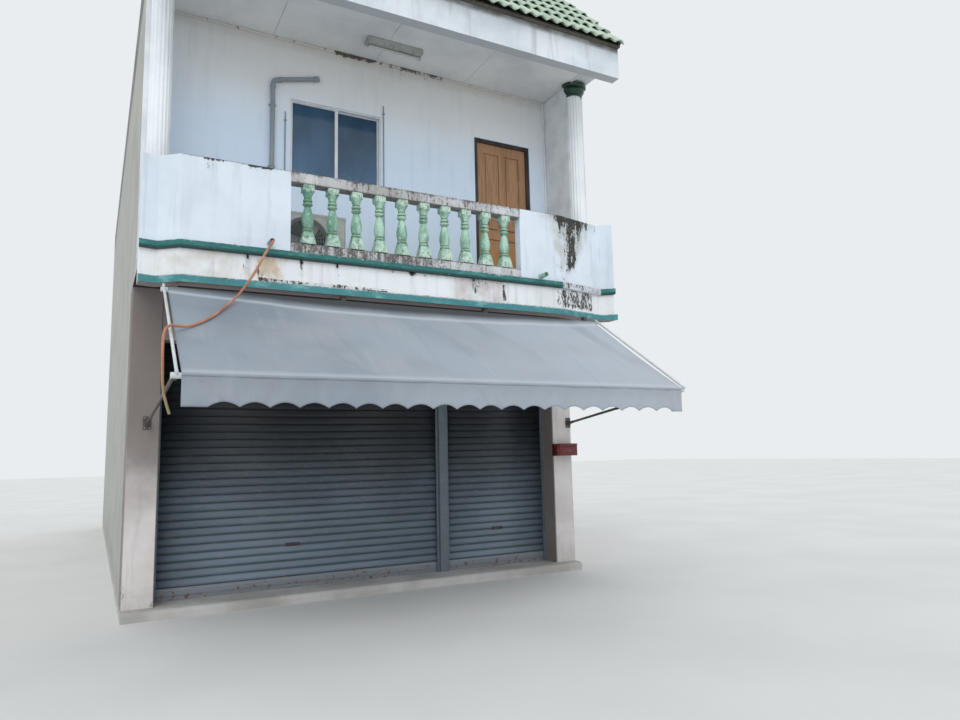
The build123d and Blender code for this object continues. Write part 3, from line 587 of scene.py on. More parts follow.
@dataclass(frozen=True)
class Enamel(Finish):
    """Painted steel or plastic with dust, grime in hollows and rust or wear.

    Attributes:
        base: Paint colour.
        wear: Colour where it is worn or rusted.
        worn: How much of it is worn, 0 to 1.
        rough: Roughness.
        metal: Metallic share of the worn places.
        fine: Scale of the dirt.
        coat: Clear coat weight.
    """

    base: Colour
    wear: Colour = tint("6d4a35")
    worn: float = 0.2
    rough: float = 0.4
    metal: float = 0.0
    fine: float = 18.0
    coat: float = 0.15

    def paint(self, g: Graph) -> None:
        """Even enamel with soft clouds, dust and worn spots.

        Args:
            g: Graph to write into.
        """
        cloud = g.noise(self.fine * 0.25, 4, 0.6).fade(0.35, 0.75)
        dust = (g.noise(self.fine * 0.7, 6, 0.7) + g.facing(2).fade(0.2, 1.0) * 0.14).fade(0.52, 0.75) * 0.35
        eaten = (g.noise(self.fine, 8, 0.74) + self.worn * 0.25).fade(0.68, 0.75)
        colour = g.layers(self.base, (cloud * 0.6, scaled(self.base, 0.72)), (dust, "a29c90"), (eaten, self.wear))
        g.surface(colour, self.rough + dust * 0.5 + eaten * 0.3, eaten * self.metal,
                  height=g.noise(self.fine * 6, 3) + eaten * -0.5, depth=0.0005, coat=self.coat, coat_rough=0.3)


@dataclass(frozen=True)
class Canvas(Finish):
    """Coated grey canvas: fine weave, sun-bleached clouds, water runs and dust; painted shade above its crease, where
    it sags from the bar, and down its folds; painted highlights on the crease and the bar pocket; painted shade at the
    valance's head.
    """

    base: Colour = tint("929ca7")
    deep: Colour = tint("7d8894")
    head: float = 2.771
    fall: float = 0.5549

    def paint(self, g: Graph) -> None:
        """Faded weave with runs and dirt, with painted shade above its crease and a painted highlight along it.

        Args:
            g: Graph to write into.
        """
        pinkish = g.noise(1.4, 3, 0.5, (1, 1.4, 1)).fade(0.45, 0.7)
        runs = g.noise(8, 5, 0.65, (1, 0.12, 0.12)).fade(0.5, 0.8)
        dirt = g.noise(16, 7, 0.7).fade(0.62, 0.78) * 0.3
        lean = (g.x + g.z * 0.75) * 10 + g.noise(0.7, 2) * 6
        # Painted shade down the diagonal folds.
        fold_shade = lean.wave().fade(0.0, 1.0) * g.noise(1.1, 2).fade(0.4, 0.62) * g.z.fade(1.95, 2.1)
        crease = self.below_crease(g)
        # Painted highlight along the crease.
        light = crease.fade(-0.03, 0.0) - crease.fade(0.005, 0.06)
        # Painted shade at the valance's head under the front bar; then a painted highlight on the bar pocket.
        hung = g.z.fade(1.80, 1.93) - g.z.fade(1.935, 1.945)
        pocket_highlight = g.z.fade(1.938, 1.95) - g.z.fade(1.955, 1.985)
        colour = g.layers(
            g.blend(g.noise(0.9, 4, 0.55).fade(0.35, 0.65), self.base, self.deep),
            (g.x.fade(-2.3, 2.0) * 0.8, "b4bdc8"), (pinkish * 0.4, "aaa9ae"), (runs * 0.3, "b6bcc4"),
            # Painted shade down the folds and above the crease, painted highlights on the crease and the pocket,
            # painted shade at the valance's head.
            (dirt, "6e7378"), (fold_shade * 0.35, "7d8893"), ((1 - crease.fade(-0.16, 0.005)) * 0.96, "262b30"),
            (light * 0.6, "c3cad2"), (hung * 0.15, "5f6870"), (pocket_highlight * 0.4, "c3cad2"))
        weave = (g.x * 2600).wave() * ((g.y - g.z) * 1900).wave() * 0.5 + 0.5
        g.surface(colour, 0.62 + dirt * 0.3, height=weave * 0.35 + g.noise(30, 5) * 0.65, depth=0.0008, sheen=0.15)

    def below_crease(self, g: Graph) -> Wire:
        """Distance down the cloth from its crease, less than 0 above it.

        Args:
            g: Graph to write into.

        Returns:
            The distance in metres.
        """
        low, bow, middle, half = CREASE
        off = (g.x - middle) / half
        ragged = (g.noise(1.3, 3, 0.5, (1, 0.1, 0.1)) - 0.5) * 0.08
        return (self.head - g.z) / self.fall - (low - off * off * bow) + ragged


@dataclass(frozen=True)
class TintedGlass(Finish):
    """Dark blue-green float glass with painted reflections, paler in clouds and towards its foot, and a dusty bloom
    towards its foot.
    """

    base: Colour = tint("223c55")
    low: float = 4.22

    def paint(self, g: Graph) -> None:
        """Dark glass with painted reflections, paler towards its foot, and dusty there.

        Args:
            g: Graph to write into.
        """
        cloud = g.noise(2.4, 3, 0.5, (1, 1, 0.5)).fade(0.3, 0.75)
        # Painted reflection: paler blue in clouds and towards the foot.
        share = cloud * 0.5 + (1 - g.z.fade(self.low, self.low + 0.9)) * 0.5
        dust = (g.noise(20, 6, 0.7) + (1 - g.z.fade(self.low, self.low + 0.35)) * 0.2).fade(0.55, 0.85) * 0.3
        colour = g.layers(self.base, (share, "4a7090"), (dust, "7e95a2"))
        g.surface(colour, 0.09 + dust * 0.5, height=g.noise(1.2, 2), depth=0.002, coat=0.3, coat_rough=0.03)


@dataclass(frozen=True)
class Wood(Finish):
    """Varnished timber with upright grain, more orange towards the foot in painted sunlight.

    Attributes:
        base: Main colour.
        dark: Grain colour.
        sunlit: Colour towards the foot, painted sunlight.
        low: Height of the balcony door's foot.
    """

    base: Colour = tint("a9805d")
    dark: Colour = tint("997350")
    sunlit: Colour = tint("cf9350")
    low: float = DECK_Z

    def paint(self, g: Graph) -> None:
        """Upright grain with stains, and painted sunlight towards its foot.

        Args:
            g: Graph to write into.
        """
        rings = g.noise(7, 4, 0.6, (1, 1, 0.12), 0.6)
        fibre = g.noise(160, 3, 0.6, (1, 1, 0.04))
        grain = ((rings * 34).wave() * 0.5 + 0.5) * 0.6 + fibre * 0.4
        stain = g.noise(6, 6, 0.7).fade(0.6, 0.8) * 0.4
        colour = g.layers(self.base, (grain.fade(0.3, 0.8), self.dark),
                          # Painted sunlight towards the foot.
                          ((1 - g.z.fade(self.low + 0.3, self.low + 1.2)) * 0.6, self.sunlit), (stain * 0.6, "5a4230"))
        g.surface(colour, 0.45 + stain * 0.4, height=grain, depth=0.0006, coat=0.2, coat_rough=0.25)


@dataclass(frozen=True)
class TileGlaze(Finish):
    """Pale green roof tile, each with its own shade, darker in the troughs, with a painted shadow under each lap, pale
    at its rim.
    """

    base: Colour = tint("c3d7c2")
    deep: Colour = tint("93b098")

    def paint(self, g: Graph) -> None:
        """Glaze laid out by the shade, trough, lap and rim that each tile carries; at the lap it paints the shadow of
        the tile above.

        Args:
            g: Graph to write into.
        """
        low = g.attribute("low")
        bloom = g.noise(26, 6, 0.7).fade(0.5, 0.75) * 0.5
        black = (g.noise(38, 7, 0.72) + low * 0.08).fade(0.62, 0.7)
        colour = g.layers(
            self.base, (g.attribute("shade"), self.deep), (low * 0.6, "4f7560"),
            # Painted shadow under the lap of the tile above.
            (g.attribute("lap").fade(0.05, 0.3) * 0.92, "22362b"),
            (g.attribute("rim") * g.noise(30, 5, 0.7).fade(0.4, 0.65) * 0.8, "e6ecdf"), (bloom, "c3cfc0"),
            (black * 0.7, "3d463c"))
        g.surface(colour, 0.55 + bloom * 0.3, height=g.noise(110, 4), depth=0.001, coat=0.12, coat_rough=0.35)


@dataclass(frozen=True)
class Rubber(Finish):
    """Faded orange hose, greenish and grimy towards its free end."""

    def paint(self, g: Graph) -> None:
        """Orange rubber with grime, greenish at its free end.

        Args:
            g: Graph to write into.
        """
        grime = g.noise(70, 6, 0.7).fade(0.55, 0.7) * 0.5
        colour = g.layers(tint("c79076"), (g.noise(6, 4).fade(0.35, 0.7), "ab6d53"),
                          ((1 - g.z.fade(1.7, 2.15)) * 0.8, "8f8f62"), (grime, "6b4a3b"))
        g.surface(colour, 0.48 + grime * 0.3, height=g.noise(160, 3), depth=0.0005, coat=0.1, coat_rough=0.3)


class Coat(Enum):
    """Slots of the record for the scene's own pieces; each piece logs its slot."""

    WALL = "wall_paint"
    CAPITAL = "capital_green"
    MINT = "mint_paint"
    SHUTTER = "shutter_metal"
    GUIDE = "guide_metal"
    CLOTH = "awning_cloth"
    AWNING_METAL = "awning_metal"
    FRAME_WHITE = "window_frame_white"
    TILE = "roof_tile"
    MORTAR = "ridge_mortar"
    LAMP = "lamp_metal"
    CONDENSER = "condenser_white"
    GUARD = "condenser_guard"
    PIPE = "pipe_grey"
    AWNING_WHITE = "awning_white"
    HOSE = "drain_hose_rubber"
    LETTERBOX = "letterbox_red"


WHITE = tint("dde2e8")
WALL_PAINT = Plaster(
    "wall_paint", tint("f0f6fc"), tint("e8eef5"), tint("3f392e"), runs=0.16, grain=0.0008, top_dirt=0.1, patchy=0.12,
    zones=(Zone((-2.2, 1.6), (5.766, 5.81), 0.56, 0.02, fray=0.1), Zone((-0.56, -0.08), (5.755, 5.81), 0.8, 0.025),
           Zone((0.08, 0.78), (5.6, 5.8), 0.4, 0.07), Zone((-2.2, 2.2), (3.1, 3.16), 0.4, 0.04)),
    # Painted light and shade: a warm grey shade high under the ceiling, a brown painted shadow just under it, and pale
    # blue sky light on the lower wall.
    stain_and_light_tints=((Zone((-2.3, 2.3), (5.35, 5.9), 1.0, 0.6, fray=0.1), tint("dcdad6"), 0.9),
           (Zone((-2.2, 2.2), (5.7, 5.8), 1.0, 0.06, fray=0.15), tint("b7b0a4"), 0.35),
           (Zone((-2.3, 2.3), (2.9, 4.6), 1.0, 0.7, fray=0.1), tint("d6e8fb"), 0.9)))
PARAPET_PAINT = Plaster(
    "parapet_paint", tint("e3edf7"), tint("d6e0ea"), tint("201f19"), runs=0.34, top_dirt=0.85, patchy=0.6,
    zones=(Zone((1.62, 2.1), (3.34, 3.95), 0.78, 0.09, 0.2), Zone((2.1, 2.3), (3.8, 3.95), 0.42, 0.04),
           Zone((1.3, 2.28), (3.86, 3.95), 0.35, 0.05), Zone((1.66, 1.72), (3.3, 3.9), 0.4, 0.05, fray=0.08),
           Zone((1.78, 1.9), (3.4, 3.9), 0.25, 0.05, fray=0.08), Zone((1.98, 2.06), (3.62, 3.9), 0.4, 0.05, fray=0.08),
           Zone((1.4, 1.5), (3.72, 3.92), 0.4, 0.04, fray=0.08), Zone((1.68, 1.86), (3.2, 3.42), 0.45, 0.05),
           Zone((1.25, 1.78), (3.2, 3.25), 0.45, 0.03), Zone((-2.15, -1.22), (3.925, 3.95), 0.62, 0.012, fray=0.05),
           Zone((-1.96, -1.82), (3.82, 3.95), 0.6, 0.05), Zone((-1.62, -1.35), (3.88, 3.95), 0.42, 0.04),
           Zone((-1.8, -1.5), (3.2, 3.27), 0.5, 0.03), Zone((-1.5, -1.22), (3.2, 3.26), 0.35, 0.03)),
    stain_and_light_tints=((Zone((1.5, 2.15), (3.4, 3.95), 1.0, 0.12, 0.4), tint("a9a493"), 0.5),))
FASCIA_PAINT = Plaster(
    "fascia_paint", tint("f0f4f8"), tint("e3e5e6"), tint("2a2623"), runs=0.42, top_dirt=0.2, under=0.95,
    # Faces that look down take a pinkish grey painted shade.
    under_colour=tint("8d8180"),
    zones=(*(Zone((x - 0.03, x + 0.03), (2.97, 3.13), 0.55, 0.03, fray=0.08) for x in WEEP_X),
           Zone((-1.5, -0.3), (2.895, 2.935), 0.78, 0.016, fray=0.06), Zone((-1.66, -1.36), (2.93, 3.1), 0.42, 0.05),
           Zone((-0.4, 0.35), (3.1, 3.13), 0.6, 0.02, fray=0.06), Zone((0.45, 0.98), (2.97, 3.13), 0.4, 0.08),
           Zone((0.96, 1.0), (2.93, 3.1), 1.1, 0.015, fray=0.12), Zone((1.7, 2.22), (2.92, 3.13), 0.92, 0.04),
           Zone((1.655, 1.675), (2.95, 3.12), 1.0, 0.008, fray=0.15),
           Zone((1.735, 1.76), (2.93, 3.12), 1.0, 0.01, fray=0.15),
           Zone((-0.5, 1.6), (2.895, 2.915), 0.66, 0.01, fray=0.05), Zone((0.6, 0.95), (3.0, 3.12), 0.18, 0.06),
           Zone((-2.24, -2.1), (3.0, 3.1), 0.4, 0.03)),
    stain_and_light_tints=((Zone((-1.6, -1.3), (2.93, 3.1), 1.0, 0.06), tint("c9a878"), 0.75),
           (Zone((0.4, 1.0), (2.9, 3.12), 1.0, 0.1), tint("c0aeaa"), 0.6),
           (Zone((-2.3, -1.7), (2.9, 3.13), 1.0, 0.1), tint("cfc3b3"), 0.5)))
RAIL_PAINT = Plaster(
    "rail_paint", tint("dcdee2"), tint("b4b3b4"), tint("4b4744"), runs=0.5, speckle=0.62, grain=0.003, top_dirt=0.5,
    # Faces that look down take a dark painted shade.
    under=0.7, under_colour=tint("6b655e"), blur=0.3,
    zones=(Zone((-1.3, 0.3), (3.15, 3.3), 0.42, 0.25), Zone((-1.3, 1.2), (3.925, 3.96), 0.2, 0.01, fray=0.05),
           Zone((-0.6, 0.9), (3.84, 3.96), 0.12, 0.2)),
    stain_and_light_tints=((Zone((-1.3, 0.4), (3.2, 3.95), 1.0, 0.3), tint("a39e98"), 0.32),))
# Faces of the lower band that look down take a pinkish grey painted shade.
LOWER_BAND = BandPaint("green_lower", WHITE, tint("c9cdd1"), edge=2.901, under_colour=tint("8d8180"), ragged=0.34,
                       green=tint("458a90"), pale=tint("7fb8b8"))
# Upper band: a painted shadow line along its foot; its faces that look down take a dark painted shade.
UPPER_BAND = BandPaint("green_upper", WHITE, tint("c9cdd1"), tint("2f2b27"), ends=(1.70, 2.31), edge=3.198, foot=0.85,
                       under_colour=tint("3f4442"), green=tint("2a7170"), pale=tint("579994"),
                       zones=(Zone((1.66, 2.34), (3.12, 3.2), 0.84, 0.03),))
PIER_PAINT = PierPaint("pier_paint", tint("e6e1df"), tint("d0cac8"), tint("4a4540"), runs=0.35, top_dirt=0.3,
                       zones=(Zone((-2.5, 2.5), (0.0, 0.24), 0.5, 0.1),))
SIDE_RENDER = PartyWall("side_render", tint("b9b8b3"), tint("abaaa5"), runs=0.4, grain=0.002,
                        zones=(Zone((-3, 3), (-0.3, 0.3), 0.55, 0.2),))
REAR_RENDER = Plaster("rear_render", SIDE_RENDER.base, SIDE_RENDER.shade, runs=SIDE_RENDER.runs,
                      grain=SIDE_RENDER.grain, zones=SIDE_RENDER.zones)
CONCRETE = Plaster("bare_concrete", tint("c6c4c2"), tint("a9a6a2"), tint("45423d"), runs=0.1, speckle=0.22,
                   grain=0.003, top_dirt=0.1)
# Its underside takes a near black painted shadow.
SLAB_CONCRETE = replace(CONCRETE, name="slab_concrete", under=1.0, under_colour=tint("2b2928"))
ROOF_CONCRETE = Plaster("roof_concrete", tint("8b8a84"), tint("6f6e69"), runs=0.3, speckle=0.3, grain=0.003,
                        top_dirt=0.2, under=1.0, under_colour=tint("d3d6d8"))
MORTAR = Plaster("ridge_mortar", tint("6a655d"), tint("4d4943"), tint("1f1d1a"), runs=0.3, speckle=0.55, grain=0.004)
BOARD = Plaster("soffit_board", tint("e6e6e5"), tint("d3d4d5"), tint("5a5348"), runs=0.0, grain=0.0005, top_dirt=0.0,
                speckle=-0.1)
COLUMN_PAINT = Plaster("column_paint", tint("f3f7fa"), tint("e6ebf0"), runs=0.4, grain=0.0006)
BEAM_PAINT = Plaster(
    "beam_paint", tint("e6ecf2"), tint("cdd5dc"), runs=0.5, grain=0.001, top_dirt=0.4, under=0.85,
    # Faces that look down take a grey painted shade.
    under_colour=tint("b1b4b7"), zones=(Zone((-2.5, 2.5), (5.93, 5.97), 0.4, 0.03),), patchy=0.4,
    # Dark band along the beam's top: a painted shadow of the tiles' eave, and a real stain.
    stain_and_light_tints=((Zone((-2.5, 2.5), (5.905, 5.99), 1.0, 0.03, fray=0.06), tint("5c5552"), 0.85),))
GREEN_GLOSS = Enamel("capital_green", tint("123a29"), tint("4d7060"), 0.04, 0.35, coat=0.3)
SLATS = SlatEnamel("shutter_metal")
GUIDE = Enamel("guide_metal", tint("68747e"), worn=0.15, rough=0.45)
CLOTH = Canvas("awning_cloth")
AWNING_METAL = Enamel("awning_metal", tint("55504c"), worn=0.25, rough=0.5)
AWNING_WHITE = Enamel("awning_white", tint("d5d9dd"), tint("7c6a58"), 0.12, 0.35)
FRAME_WHITE = Enamel("window_frame_white", tint("e2e6ea"), tint("9a9890"), 0.06, 0.4)
GLASS = TintedGlass("window_glass")
DOOR = Wood("door_wood")
DOOR_FRAME = Wood("door_frame_dark", tint("332a2b"), tint("1f1819"), tint("2c2324"))
TILE = TileGlaze("roof_tile")
LAMP = Enamel("lamp_metal", tint("a9ada8"), tint("5c4630"), 0.42, 0.55, fine=22)
LAMP_TUBE = Enamel("lamp_tube", tint("c4c8c6"), tint("6f6a5c"), 0.25, 0.3)
CONDENSER = Enamel("condenser_white", tint("cfd0cc"), tint("8c8577"), 0.12, 0.5)
GUARD = Enamel("condenser_guard", tint("a3a8ab"), tint("5b5f62"), 0.12, 0.5)
# Near black that stands in for shade in the vent pipe's mouth and the letterbox slot; the fan blades and drip pipes
# wear it too.
SHADOW = Enamel("condenser_inside", tint("121314"), tint("2a2b2c"), 0.1, 0.7, coat=0.0)
PIPE = Enamel("pipe_grey", tint("8e979f"), tint("5f666b"), 0.14, 0.5)
RUBBER = Rubber("drain_hose_rubber")
LETTERBOX = Enamel("letterbox_red", tint("6b171c"), tint("3a1413"), 0.18, 0.35, coat=0.3)
WORN_SPOUT = Enamel("spout_worn_paint", tint("9cc4b8"), tint("dfe8e4"), 0.5, 0.6)
LOCK = Enamel("lock_steel", tint("3d3230"), tint("5e3a2c"), 0.3, 0.5)
STEEL = Enamel("galvanised_steel", tint("8f9498"), tint("6d4a35"), 0.2, 0.35, metal=0.4)


def wear(obj: bpy.types.Object, finish: Finish) -> None:
    """Give an object one finish in place of whatever it has."""
    obj.data.materials.clear()
    obj.data.materials.append(finish.material())


@dataclass
class Maker:
    """Turns filled bmeshes into pieces that ride on the building."""

    sharp: float = 38.0

    def mesh(self, name: str, bm: bmesh.types.BMesh, finish: Finish, coat: Coat,
             weld: float = 1e-5) -> bpy.types.Object:
        """Finish a bmesh as a named piece, smooth between its sharp edges.

        Args:
            name: Piece name.
            bm: The filled bmesh, freed here.
            finish: What it wears.
            coat: The record's slot of that finish.
            weld: Distance at which doubled corners are merged, or 0.

        Returns:
            The new object.
        """
        if weld:
            bmesh.ops.remove_doubles(bm, verts=bm.verts, dist=weld)
            bmesh.ops.recalc_face_normals(bm, faces=bm.faces)
        for face in bm.faces:
            face.smooth = True
        limit = math.radians(self.sharp)
        for edge in bm.edges:
            edge.smooth = not (len(edge.link_faces) == 2 and edge.calc_face_angle(0) > limit)
        data = bpy.data.meshes.new(name)
        bm.to_mesh(data)
        bm.free()
        return self.piece(name, data, finish, coat)

    def piece(self, name: str, data: bpy.types.ID, finish: Finish, coat: Coat) -> bpy.types.Object:
        """Link data as a piece, dressed and riding on the building.

        Args:
            name: Piece name.
            data: Its mesh or curve.
            finish: What it wears.
            coat: The record's slot of that finish.

        Returns:
            The new object.
        """
        obj = bpy.data.objects.new(name, data)
        bpy.context.scene.collection.objects.link(obj)
        data.materials.append(finish.material())
        LOG.info("piece %s in slot %s", name, coat.value)
        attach(obj, "root")
        return obj

    def thicken(self, obj: bpy.types.Object, gauge: float, offset: float = -1.0) -> None:
        """Give an open sheet its gauge.

        Args:
            obj: The sheet.
            gauge: Its thickness in metres.
            offset: Which way it grows: -1 is inwards, 0 to both sides and 1 outwards.
        """
        solid = obj.modifiers.new("gauge", "SOLIDIFY")
        solid.thickness = gauge
        solid.offset = offset


MAKE = Maker()


def lathe(bm: bmesh.types.BMesh, outline: Sequence[tuple[float, float]], centre: Vector, steps: int = 32,
          arc: float = 2 * math.pi, start: float = 0.0) -> list[bmesh.types.BMVert]:
    """Spin an outline of radii and heights round an upright axis.

    Args:
        bm: Mesh to add to.
        outline: Radius and height pairs, from foot to head.
        centre: Foot of the axis.
        steps: Steps of the spin.
        arc: Angle of the spin.
        start: Angle of the outline, from the x axis.

    Returns:
        The new corners.
    """
    before = set(bm.verts)
    turn = Matrix.Rotation(start, 3, "Z")
    line = [bm.verts.new(centre + turn @ Vector((r, 0, z))) for r, z in outline]
    edges = [bm.edges.new(pair) for pair in zip(line, line[1:])]
    full = abs(arc - 2 * math.pi) < 1e-6
    bmesh.ops.spin(bm, geom=line + edges, cent=centre, axis=(0, 0, 1), angle=arc, steps=steps, use_merge=full)
    return [v for v in bm.verts if v not in before]


def edges_of(verts: Sequence[bmesh.types.BMVert]) -> list[bmesh.types.BMEdge]:
    """Edges that touch any of the corners, each once."""
    return list(dict.fromkeys(e for v in verts for e in v.link_edges))


def rounded(bm: bmesh.types.BMesh, edges: Sequence[bmesh.types.BMEdge], offset: float, segments: int = 2) -> None:
    """Round edges off."""
    bmesh.ops.bevel(bm, geom=edges, offset=offset, segments=segments, affect="EDGES", profile=0.5, material=-1)


def upright(verts: Sequence[bmesh.types.BMVert], rise: float) -> list[bmesh.types.BMEdge]:
    """Edges among the corners' own that climb by more than rise."""
    return [e for e in edges_of(verts) if abs(e.verts[0].co.z - e.verts[1].co.z) > rise]


def block(bm: bmesh.types.BMesh, low: Vector, high: Vector, edge: float = 0.002) -> list[bmesh.types.BMVert]:
    """Box between two corners.

    Args:
        bm: Mesh to add to.
        low: Its lowest corner.
        high: Its highest corner.
        edge: Radius that rounds its edges, or 0 to leave them sharp.

    Returns:
        The corners, if it is left sharp.
    """
    lay = Matrix.LocRotScale((low + high) / 2, None, high - low)
    made = bmesh.ops.create_cube(bm, size=1.0, matrix=lay)["verts"]
    if edge:
        rounded(bm, edges_of(made), edge)
    return made


def rod(bm: bmesh.types.BMesh, start: Vector, end: Vector, radius: float, sides: int = 24,
        end_radius: float | None = None, edge: float = 0.0) -> None:
    """Round bar between two points.

    Args:
        bm: Mesh to add to.
        start: Middle of its first end.
        end: Middle of its far end.
        radius: Its radius.
        sides: Flats round it.
        edge: Radius that rounds its rims, or 0.
    """
    run = end - start
    turn = Vector((0, 0, 1)).rotation_difference(run).to_matrix().to_4x4()
    made = bmesh.ops.create_cone(bm, cap_ends=True, segments=sides, radius1=radius,
                                 radius2=radius if end_radius is None else end_radius, depth=run.length,
                                 matrix=Matrix.Translation((start + end) / 2) @ turn)["verts"]
    if edge:
        rounded(bm, [e for e in edges_of(made) if any(len(f.verts) > 4 for f in e.link_faces)], edge)


def ring(bm: bmesh.types.BMesh, centre: Vector, radius: float, wire: float, axis: Vector = Vector((0, 1, 0)),
         steps: int = 36, sides: int = 8) -> None:
    """Wire ring round an axis.

    Args:
        bm: Mesh to add to.
        centre: Middle of the ring.
        radius: From there to the middle of the wire.
        wire: The wire's own radius.
        axis: Direction of the axis.
        steps: Steps round the axis.
        sides: Flats of the wire.
    """
    side = Vector((0, 0, 1)).rotation_difference(axis) @ Vector((1, 0, 0))
    circle = bmesh.ops.create_circle(bm, segments=sides, radius=wire)["verts"]
    lay = Matrix((side, axis, side.cross(axis))).transposed()
    for v in circle:
        v.co = centre + side * radius + lay @ v.co
    bmesh.ops.spin(bm, geom=circle + edges_of(circle), cent=centre, axis=axis, angle=2 * math.pi, steps=steps,
                   use_merge=True)


def extruded(bm: bmesh.types.BMesh, outline: Sequence[Vector], run: Vector, closed: bool = True) -> None:
    """Push an outline along a run.

    Args:
        bm: Mesh to add to.
        outline: Its points.
        run: How far and which way it goes.
        closed: True for an area with both end faces, False for an open line.
    """
    line = [bm.verts.new(p) for p in outline]
    if closed:
        base = bm.faces.new(line)
        made = bmesh.ops.extrude_face_region(bm, geom=[base], use_keep_orig=True)["geom"]
    else:
        edges = [bm.edges.new(pair) for pair in zip(line, line[1:])]
        made = bmesh.ops.extrude_edge_only(bm, edges=edges)["geom"]
    bmesh.ops.translate(bm, verts=[g for g in made if isinstance(g, bmesh.types.BMVert)], vec=run)


def curve(name: str, points: Sequence[Vector], radius: float, finish: Finish, coat: Coat,
          kind: str = "POLY") -> bpy.types.Object:
    """Round tube along points, as a curve piece.

    Args:
        name: Piece name.
        points: Places along its middle.
        radius: Its radius.
        finish: What it wears.
        coat: The record's slot of that finish.
        kind: POLY for straight runs between the points, NURBS for a smooth line.

    Returns:
        The new object.
    """
    data = bpy.data.curves.new(name, "CURVE")
    data.dimensions = "3D"
    data.bevel_depth = radius
    data.bevel_resolution = 5
    data.resolution_u = 10
    data.use_fill_caps = True
    spline = data.splines.new(kind)
    spline.points.add(len(points) - 1)
    for spot, point in zip(spline.points, points):
        spot.co = (*point, 1.0)
    if kind == "NURBS":
        spline.order_u = 3
        spline.use_endpoint_u = True
    return MAKE.piece(name, data, finish, coat)


def elbow(start: Vector, corner: Vector, end: Vector, radius: float, steps: int = 8) -> list[Vector]:
    """Points of the arc that rounds a corner.

    Args:
        start: Where the run comes from.
        corner: Where its two straights would meet.
        end: Where the run goes.
        radius: Radius of the bend.
        steps: Steps of the arc.

    Returns:
        The points, from one straight to the other.
    """
    u, v = (start - corner).normalized(), (end - corner).normalized()
    half = u.angle(v) / 2
    middle = corner + (u + v).normalized() * (radius / math.sin(half))
    first, last = (corner + way * (radius / math.tan(half)) - middle for way in (u, v))
    return [middle + first.slerp(last, i / steps).normalized() * radius for i in range(steps + 1)]


@dataclass
class Studio:
    """Camera, floor and soft light.

    Attributes:
        eye: Place of the camera.
        ahead: Way that it looks.
        right: Its way to the right.
        above: Its way up.
        lens: Focal length in millimetres.
    """

    eye: Point = (-2.7105, -11.0406, 1.3988)
    ahead: Point = (0.47333887, 0.87164684, 0.12720889)
    right: Point = (0.87991901, -0.47461121, -0.02206216)
    above: Point = (-0.04114435, -0.1223764, 0.99163056)
    lens: float = 26.825

    def build(self) -> None:
        """Set up camera, world, lamps and floor."""
        self.camera()
        self.world()
        self.lamps()
        self.floor()

    def camera(self) -> None:
        """Camera at the photograph's place and angle."""
        data = bpy.data.cameras.new("view")
        data.lens = self.lens
        data.sensor_width = 36.0
        data.sensor_fit = "HORIZONTAL"
        data.clip_end = 200
        obj = bpy.data.objects.new("view", data)
        bpy.context.scene.collection.objects.link(obj)
        turn = Matrix((self.right, self.above, [-c for c in self.ahead])).transposed()
        obj.matrix_world = Matrix.Translation(self.eye) @ turn.to_4x4()
        bpy.context.scene.camera = obj

    def world(self) -> None:
        """Even daylight that the camera sees as a pale backdrop."""
        world = bpy.data.worlds.new("daylight")
        world.use_nodes = True
        tree = world.node_tree
        tree.nodes.clear()
        paths = tree.nodes.new("ShaderNodeLightPath")
        through, seen = tree.nodes.new("ShaderNodeMath"), tree.nodes.new("ShaderNodeMath")
        through.operation = seen.operation = "MAXIMUM"
        tree.links.new(paths.outputs["Is Camera Ray"], through.inputs[0])
        tree.links.new(paths.outputs["Is Transmission Ray"], through.inputs[1])
        tree.links.new(through.outputs[0], seen.inputs[0])
        tree.links.new(paths.outputs["Is Glossy Ray"], seen.inputs[1])
        light, back, mix = (tree.nodes.new(k) for k in ("ShaderNodeBackground", "ShaderNodeBackground",
                                                        "ShaderNodeMixShader"))
        light.inputs[0].default_value = (0.93, 0.97, 1.0, 1)
        light.inputs[1].default_value = 0.84
        back.inputs[0].default_value = (*tint("e9edf0"), 1)
        back.inputs[1].default_value = 1.0
        tree.links.new(seen.outputs[0], mix.inputs[0])
        tree.links.new(light.outputs[0], mix.inputs[1])
        tree.links.new(back.outputs[0], mix.inputs[2])
        tree.links.new(mix.outputs[0], tree.nodes.new("ShaderNodeOutputWorld").inputs[0])
        bpy.context.scene.world = world
        bpy.context.scene.view_settings.view_transform = "Standard"

    def lamps(self) -> None:
        """A broad sun high on the street side and a faint one from behind."""
        for name, strength, spread, pitch, turn in (("high_sun", 0.95, 50, 50, -24), ("back_sky", 0.3, 90, 55, 160)):
            data = bpy.data.lights.new(name, "SUN")
            data.energy = strength
            data.angle = math.radians(spread)
            obj = bpy.data.objects.new(name, data)
            bpy.context.scene.collection.objects.link(obj)
            obj.rotation_euler = (math.radians(pitch), 0, math.radians(turn))

    def floor(self) -> None:
        """Large pale floor."""
        bm = bmesh.new()
        bmesh.ops.create_grid(bm, x_segments=1, y_segments=1, size=60)
        data = bpy.data.meshes.new("studio_floor")
        bm.to_mesh(data)
        bm.free()
        obj = bpy.data.objects.new("studio_floor", data)
        bpy.context.scene.collection.objects.link(obj)
        obj.location.z = -0.0005
        g = Graph("studio_floor")
        g.surface(g.blend(g.noise(0.6, 3).fade(0.3, 0.7), tint("dcdcda"), tint("d6d6d4")), 0.85)
        data.materials.append(g.material)


